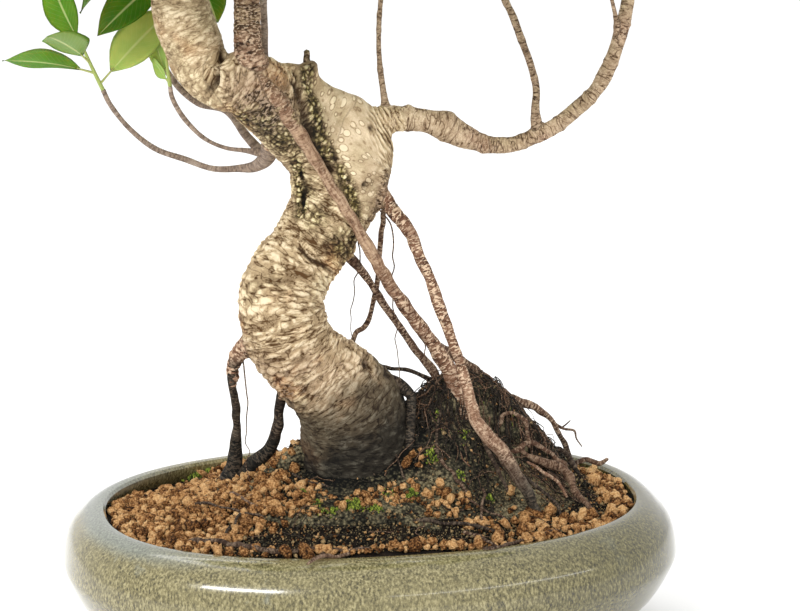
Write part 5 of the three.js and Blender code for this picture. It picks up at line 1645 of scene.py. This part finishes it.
def leaves_of(node):
    """The leaves of a CAD spray as foot, along, up, side and length, read from its own faces."""
    places, triangles = merged_places(node)
    near = defaultdict(set)
    for a, b, c in triangles.tolist():
        near[a] |= {b, c}
        near[b] |= {a, c}
        near[c] |= {a, b}
    leaves = []
    for tip in sorted(near):
        thin = [v for v in sorted(near[tip]) if len(near[v]) == 4]
        if len(near[tip]) != 4 or len(thin) != 2:
            continue
        edges = [v for v in sorted(near[tip]) if v not in thin]
        middle = [next(iter(near[v] - {tip, *edges})) for v in thin]
        wide = [next(iter(near[v] - {tip, *thin, *middle})) for v in edges]
        base = [next(iter(near[v] - {*thin, *edges, *wide})) for v in middle]
        root = places[base].mean(0)
        chord = places[tip] - root
        length = np.linalg.norm(chord) / CHORD_SHARE
        chord = unit(chord)
        side = unit(places[wide[0]] - places[wide[1]])
        up = np.cross(chord, side)
        fold = places[wide].mean(0) - places[middle].mean(0)
        if up @ fold < 0:
            side, up = -side, -up
        up = unit(up)
        tilt = math.atan(CHORD_SLOPE)
        along = math.cos(tilt) * chord + math.sin(tilt) * up
        up = math.cos(tilt) * up - math.sin(tilt) * chord
        side = unit(side - side @ along * along)
        foot = root - along * STALK_LENGTH * length / LEAF_LENGTH + up * 0.2 * length * ROOT_DROP
        leaves.append({"foot": foot, "along": along, "up": up, "side": side, "length": length})
    return leaves


def add_green_tube(skin, limb, sides, blunt, tone, stalk):
    """Adds a stalk or a shoot, which takes its colour from a plain part of the leaf's UVs."""
    points, tube, fans, _ = limb.tube(sides, None, blunt)
    uv = np.tile([0.2, 0.5], (len(points), 1))
    skin.add(points, tube, fans, tone=tone, under=0.0, stalk=stalk, uv=uv)


def add_leaf(skin, leaf, rows, columns, tone, seed):
    """Adds a closed thin blade on its stalk."""
    length = leaf["length"]
    stalk = STALK_LENGTH * length / LEAF_LENGTH
    half = LEAF_HALF_WIDTH * length / LEAF_LENGTH
    foot, along, up, side = (leaf[k] for k in ("foot", "along", "up", "side"))
    u = np.linspace(0, 1, rows + 1) ** 0.92
    v = np.linspace(-1, 1, columns + 1)
    uu, vv = np.meshgrid(u, v, indexing="ij")
    width = np.interp(uu, *LEAF_WIDTHS) * half
    distance = stalk + uu * length
    twist = (chance(seed) - 0.5) * 0.5
    wave = 0.035 * half * np.sin(uu * 9 + 6 * chance(seed + 1)) * np.abs(vv) * np.sign(vv + 1e-9)
    arch = -0.2 * length * (distance / (stalk + length)) ** 2
    rise = arch + 0.24 * width * np.abs(vv) ** 1.25 + wave * 2 + twist * vv * width * uu * 0.5
    top = foot + along * distance[..., None] + side * (vv * width)[..., None] + up * rise[..., None]
    thickness = 0.2 * np.sin(np.pi * np.clip(uu, 0.02, 0.98)) ** 0.5 * (1 - 0.75 * np.abs(vv))
    under = top - up * (2 * thickness)[..., None]
    top = top.reshape(-1, 3)
    index = np.arange((rows + 1) * (columns + 1)).reshape(rows + 1, columns + 1)
    inner = np.zeros_like(index, bool)
    inner[1:-1, 1:-1] = True
    below = index.copy()
    below[inner] = len(top) + np.arange(inner.sum())
    places = np.concatenate([top, under.reshape(-1, 3)[inner.ravel()]])
    quads = []
    for grid, flip in ((index, False), (below, True)):
        quad = np.stack([grid[:-1, :-1], grid[:-1, 1:], grid[1:, 1:], grid[1:, :-1]], -1).reshape(-1, 4)
        quads.append(quad[:, ::-1] if flip else quad)
    faces = np.concatenate(quads)
    corner, after, _, before = places[faces[0]]
    if np.cross(after - corner, before - corner) @ up < 0:
        faces = faces[:, ::-1]
    uv = np.stack([(vv + 1) / 2, uu], -1).reshape(-1, 2)
    uv = np.concatenate([uv, uv[inner.ravel()]])
    bottom = np.concatenate([np.zeros(len(top)), np.ones(inner.sum())])
    skin.add(places, faces, tone=tone, under=bottom, stalk=0.0, uv=uv)
    route = [[*(foot - along * 0.3), 0.85], [*(foot + along * stalk * 0.5 + up * arch[0, 0] * 0.3), 0.6],
             [*(foot + along * (stalk + 0.04 * length) + up * arch[0, 0]), 0.55]]
    add_green_tube(skin, Limb(route, stalk / 3), 4, 0.3, tone, 1.0)


def shoot_line(start, way, length):
    """The green shoot's line, sagging a little, as the part's."""
    begin, end = start + 0.4 * way, start + length * way
    sag = (begin + end) / 2 - UP * 0.03 * length
    t = np.linspace(0, 1, 12)[:, None]
    return (1 - t) ** 2 * begin + 2 * t * (1 - t) * sag + t ** 2 * end


def add_shoot(skin, line, tone):
    """Adds the shoot with a pointed bud at its end."""
    way = unit(line[-1] - line[-2])
    radii = SHOOT_RADIUS * np.linspace(1.15, 0.8, len(line))
    bud = [[*(line[-1] + way * ahead), radius] for ahead, radius in BUD]
    route = [[*p, r] for p, r in zip(line, radii)] + bud
    add_green_tube(skin, Limb(route, 2.0), 6, 0.4, tone, 0.75)


def more_leaves(line, way, seed, count, taken):
    """Extra leaves between the part's own ones, kept clear of every leaf so far."""
    right = unit(np.cross(way, UP))
    over = np.cross(way, right)
    found = []
    random = np.random.default_rng(600 + seed)
    for k in range(count):
        t = 0.1 + 0.85 * k / max(1, count - 1)
        foot = line[int(t * (len(line) - 1))]
        for _ in range(LEAF_TRIES):
            turn = random.uniform(0, 2 * math.pi)
            forward = 0.35 + 0.9 * t + 0.2 * random.normal()
            along = unit(right * math.cos(turn) + over * math.sin(turn) + forward * way)
            length = LEAF_LENGTH * random.uniform(0.62, 1.0)
            face = UP + 0.5 * way
            side = unit(np.cross(face, along))
            up = np.cross(along, side)
            middle = foot + along * length * MIDDLE_OF_LEAF - up * 0.05 * length
            tip = foot + along * length * 1.08 - up * 0.18 * length
            if all(np.linalg.norm(middle - other) > LEAF_GAP for other in taken) and tip[2] < CROWN_TOP:
                found.append({"foot": foot, "along": along, "up": up, "side": side, "length": length})
                taken.append(middle)
                break
    return found


def make_leaves(twigs, settings):
    """A piece for each spray: its green shoot, the part's leaves dressed, and more in the crown."""
    material = leaf_finish(settings)
    ends = [(np.array(route[-1][:3]), limb_end(route)) for _, route in twigs]
    starts = [(np.array(route[-1][:3], float), limb_end(route)) for route in LOW_BRANCH] + ends
    lows = len(LOW_SPRAY_LENGTHS)
    names = [f"spray_low_{k + 1}" for k in range(lows)]
    names += [f"spray_{k + 1:02d}" for k in range(CROWN_SPRAYS)]
    own = [leaves_of(name) for name in names]
    taken = [leaf["foot"] + leaf["along"] * leaf["length"] * MIDDLE_OF_LEAF
             for leaves in own for leaf in leaves]
    for k, (name, (start, way), leaves) in enumerate(zip(names, starts, own)):
        low = k < lows
        skin = Skin()
        line = shoot_line(start, way, LOW_SPRAY_LENGTHS[k] if low else SPRAY_LENGTH)
        add_shoot(skin, line, 0.7)
        for n, leaf in enumerate(leaves):
            tone = low_tone(k, leaf) if low else 0.2 + 0.35 * chance(7 * k + n) + (0.25 if n > 5 else 0)
            add_leaf(skin, leaf, *(FINE_BLADE if low else COARSE_BLADE), tone, 13 * k + n)
        if not low:
            for n, leaf in enumerate(more_leaves(line, way, k, settings.extra_leaves, taken)):
                add_leaf(skin, leaf, *COARSE_BLADE, 0.12 + 0.4 * chance(11 * k + n), 31 * k + n)
        dress(skin.made(name + "_leaves"), material, "leaf", name)


def low_tone(k, leaf):
    """How yellow a low leaf is: the big left one is light, its neighbour dark, the small ones young."""
    if leaf["length"] < 30:
        return 0.85
    if k == 0:
        return 0.9 if leaf["along"][0] > 0.3 else 0.5
    return 0.37 if leaf["along"][2] < 0 else 0.44


def limb_end(route):
    """The way in which the part's smooth curve leaves the end of a route."""
    line, _ = smooth_line([point[:3] for point in route], 0.3)
    return unit(line[-1] - line[-2])


# Stage

def add_area_light(name, place, size, power):
    """A soft rectangular lamp that points at the tree."""
    data = bpy.data.lights.new(name, "AREA")
    data.shape, data.size, data.size_y = "RECTANGLE", size[0], size[1]
    data.energy = power
    light = bpy.data.objects.new(name, data)
    light.location = place
    light.rotation_euler = (Vector(LAMP_AIM) - Vector(place)).to_track_quat("-Z", "Y").to_euler()
    bpy.context.scene.collection.objects.link(light)


def make_stage(settings):
    """The pale floor, the even white light, the lamps and the camera."""
    bpy.ops.object.select_all(action="DESELECT")
    bpy.ops.mesh.primitive_plane_add(size=40.0, location=(0, 0, -0.0002))
    floor = bpy.context.object
    floor.name = floor.data.name = "floor"
    bpy.ops.object.transform_apply(location=True, rotation=True, scale=True)
    f = Finish("pale_floor", Roughness=0.9, Specular_IOR_Level=0.0)
    grain = f.noise(f.object_place(), 30.0, 2.0)
    lighter = [min(1, 1.01 * c) for c in settings.floor]
    f.set(Base_Color=f.mix(grain, (*settings.floor, 1), (*lighter, 1)))
    floor.data.materials.append(f.material)

    scene = bpy.context.scene
    scene.view_settings.view_transform = "Standard"
    world = bpy.data.worlds.new("studio")
    scene.world = world
    world.use_nodes = True
    background = world.node_tree.nodes["Background"]
    background.inputs["Color"].default_value = (1, 1, 1, 1)
    background.inputs["Strength"].default_value = settings.ambience

    for name, (place, size, power) in LAMPS.items():
        add_area_light(name, place, size, power * settings.lamps)

    turn, rise = math.radians(VIEW_TURN), math.radians(VIEW_RISE)
    back = Vector((math.sin(turn) * math.cos(rise), -math.cos(turn) * math.cos(rise), math.sin(rise)))
    data = bpy.data.cameras.new("camera")
    data.lens, data.sensor_width, data.clip_end = VIEW_LENS, 36.0, 100.0
    camera = bpy.data.objects.new("camera", data)
    camera.location = Vector(VIEW_PLACE) + back * VIEW_DISTANCE
    camera.rotation_euler = (-back).to_track_quat("-Z", "Y").to_euler()
    scene.collection.objects.link(camera)
    scene.camera = camera


# Add-on

class BonsaiPotSettings(PropertyGroup):
    segments: IntProperty(name="Segments", description="Sides of the oval pot", default=160,
                          min=32, max=256)
    glaze: FloatVectorProperty(name="Glaze", description="Middle colour of the glaze", subtype="COLOR",
                               default=(0.465, 0.43, 0.275), min=0, max=1)


class BonsaiLeafSettings(PropertyGroup):
    green: FloatVectorProperty(name="Green", description="Middle colour of a grown leaf", subtype="COLOR",
                               default=(0.21, 0.43, 0.01), min=0, max=1)
    extra_leaves: IntProperty(name="Extra leaves", default=11, min=0, max=30,
                              description="Leaves tried on each crown spray beside the part's own")


class BonsaiStageSettings(PropertyGroup):
    floor: FloatVectorProperty(name="Floor", description="Colour of the floor", subtype="COLOR",
                               default=(0.97, 0.97, 0.97), min=0, max=1)
    ambience: FloatProperty(name="Ambience", description="Strength of the even white light",
                            default=1.0, min=0)
    lamps: FloatProperty(name="Lamps", description="Strength of the soft lamps", default=1.0, min=0)


class BONSAI_OT_stage(Operator):
    """Makes the floor, the lamps and the camera"""
    bl_idname = "bonsai.stage"
    bl_label = "Stage"

    def execute(self, context):
        make_stage(context.scene.bonsai_stage)
        return {"FINISHED"}


class BONSAI_OT_pot(Operator):
    """Throws the glazed oval pot and gives the drain meshes their plastic"""
    bl_idname = "bonsai.pot"
    bl_label = "Pot"

    def execute(self, context):
        make_pot(context.scene.bonsai_pot)
        plastic = plastic_finish()
        for node in ("drain_mesh_left", "drain_mesh_right"):
            frame["nodes"][node].data.materials.clear()
            frame["nodes"][node].data.materials.append(plastic)
        return {"FINISHED"}


class BONSAI_OT_soil(Operator):
    """Fills the pot with clay grains, dark soil and moss"""
    bl_idname = "bonsai.soil"
    bl_label = "Soil"

    def execute(self, context):
        make_akadama_bed()
        make_root_ball()
        make_peat()
        make_grains()
        make_moss()
        return {"FINISHED"}


class BONSAI_OT_trunk(Operator):
    """Grows the trunk, leader and front stem with their bark"""
    bl_idname = "bonsai.trunk"
    bl_label = "Trunk"

    def execute(self, context):
        make_trunk()
        return {"FINISHED"}


class BONSAI_OT_roots(Operator):
    """Grows the aerial roots, the roots on the soil and the fine ones"""
    bl_idname = "bonsai.roots"
    bl_label = "Roots"

    def execute(self, context):
        make_aerial_roots()
        make_surface_roots()
        make_fibres()
        return {"FINISHED"}


class BONSAI_OT_branches(Operator):
    """Grows the right branch, the thin branches and their twigs"""
    bl_idname = "bonsai.branches"
    bl_label = "Branches"

    def execute(self, context):
        make_right_branch()
        make_thin_branches(twig_routes())
        return {"FINISHED"}


class BONSAI_OT_leaves(Operator):
    """Grows a spray of leaves at the end of each twig"""
    bl_idname = "bonsai.leaves"
    bl_label = "Leaves"

    def execute(self, context):
        make_leaves(twig_routes(), context.scene.bonsai_leaves)
        return {"FINISHED"}


OPERATORS = (BONSAI_OT_stage, BONSAI_OT_pot, BONSAI_OT_soil, BONSAI_OT_trunk, BONSAI_OT_roots,
             BONSAI_OT_branches, BONSAI_OT_leaves)


class BONSAI_PT_panel(Panel):
    """Lists the pieces of the bonsai and their settings"""
    bl_idname = "BONSAI_PT_panel"
    bl_label = "Bonsai"
    bl_space_type = "VIEW_3D"
    bl_region_type = "UI"
    bl_category = "Bonsai"

    def draw(self, context):
        for group in (context.scene.bonsai_pot, context.scene.bonsai_leaves, context.scene.bonsai_stage):
            box = self.layout.box()
            for name in type(group).__annotations__:
                box.prop(group, name)
        for operator in OPERATORS:
            self.layout.operator(operator.bl_idname)


GROUPS = {"bonsai_pot": BonsaiPotSettings, "bonsai_leaves": BonsaiLeafSettings,
          "bonsai_stage": BonsaiStageSettings}


def register():
    for group in (*GROUPS.values(), *OPERATORS, BONSAI_PT_panel):
        bpy.utils.register_class(group)
    for name, group in GROUPS.items():
        setattr(bpy.types.Scene, name, PointerProperty(type=group))


def unregister():
    for name in GROUPS:
        delattr(bpy.types.Scene, name)
    for group in reversed((*GROUPS.values(), *OPERATORS, BONSAI_PT_panel)):
        bpy.utils.unregister_class(group)


def main():
    register()
    for operator in OPERATORS:
        family, name = operator.bl_idname.split(".")
        getattr(getattr(bpy.ops, family), name)()


if __name__ == "__main__":
    main()
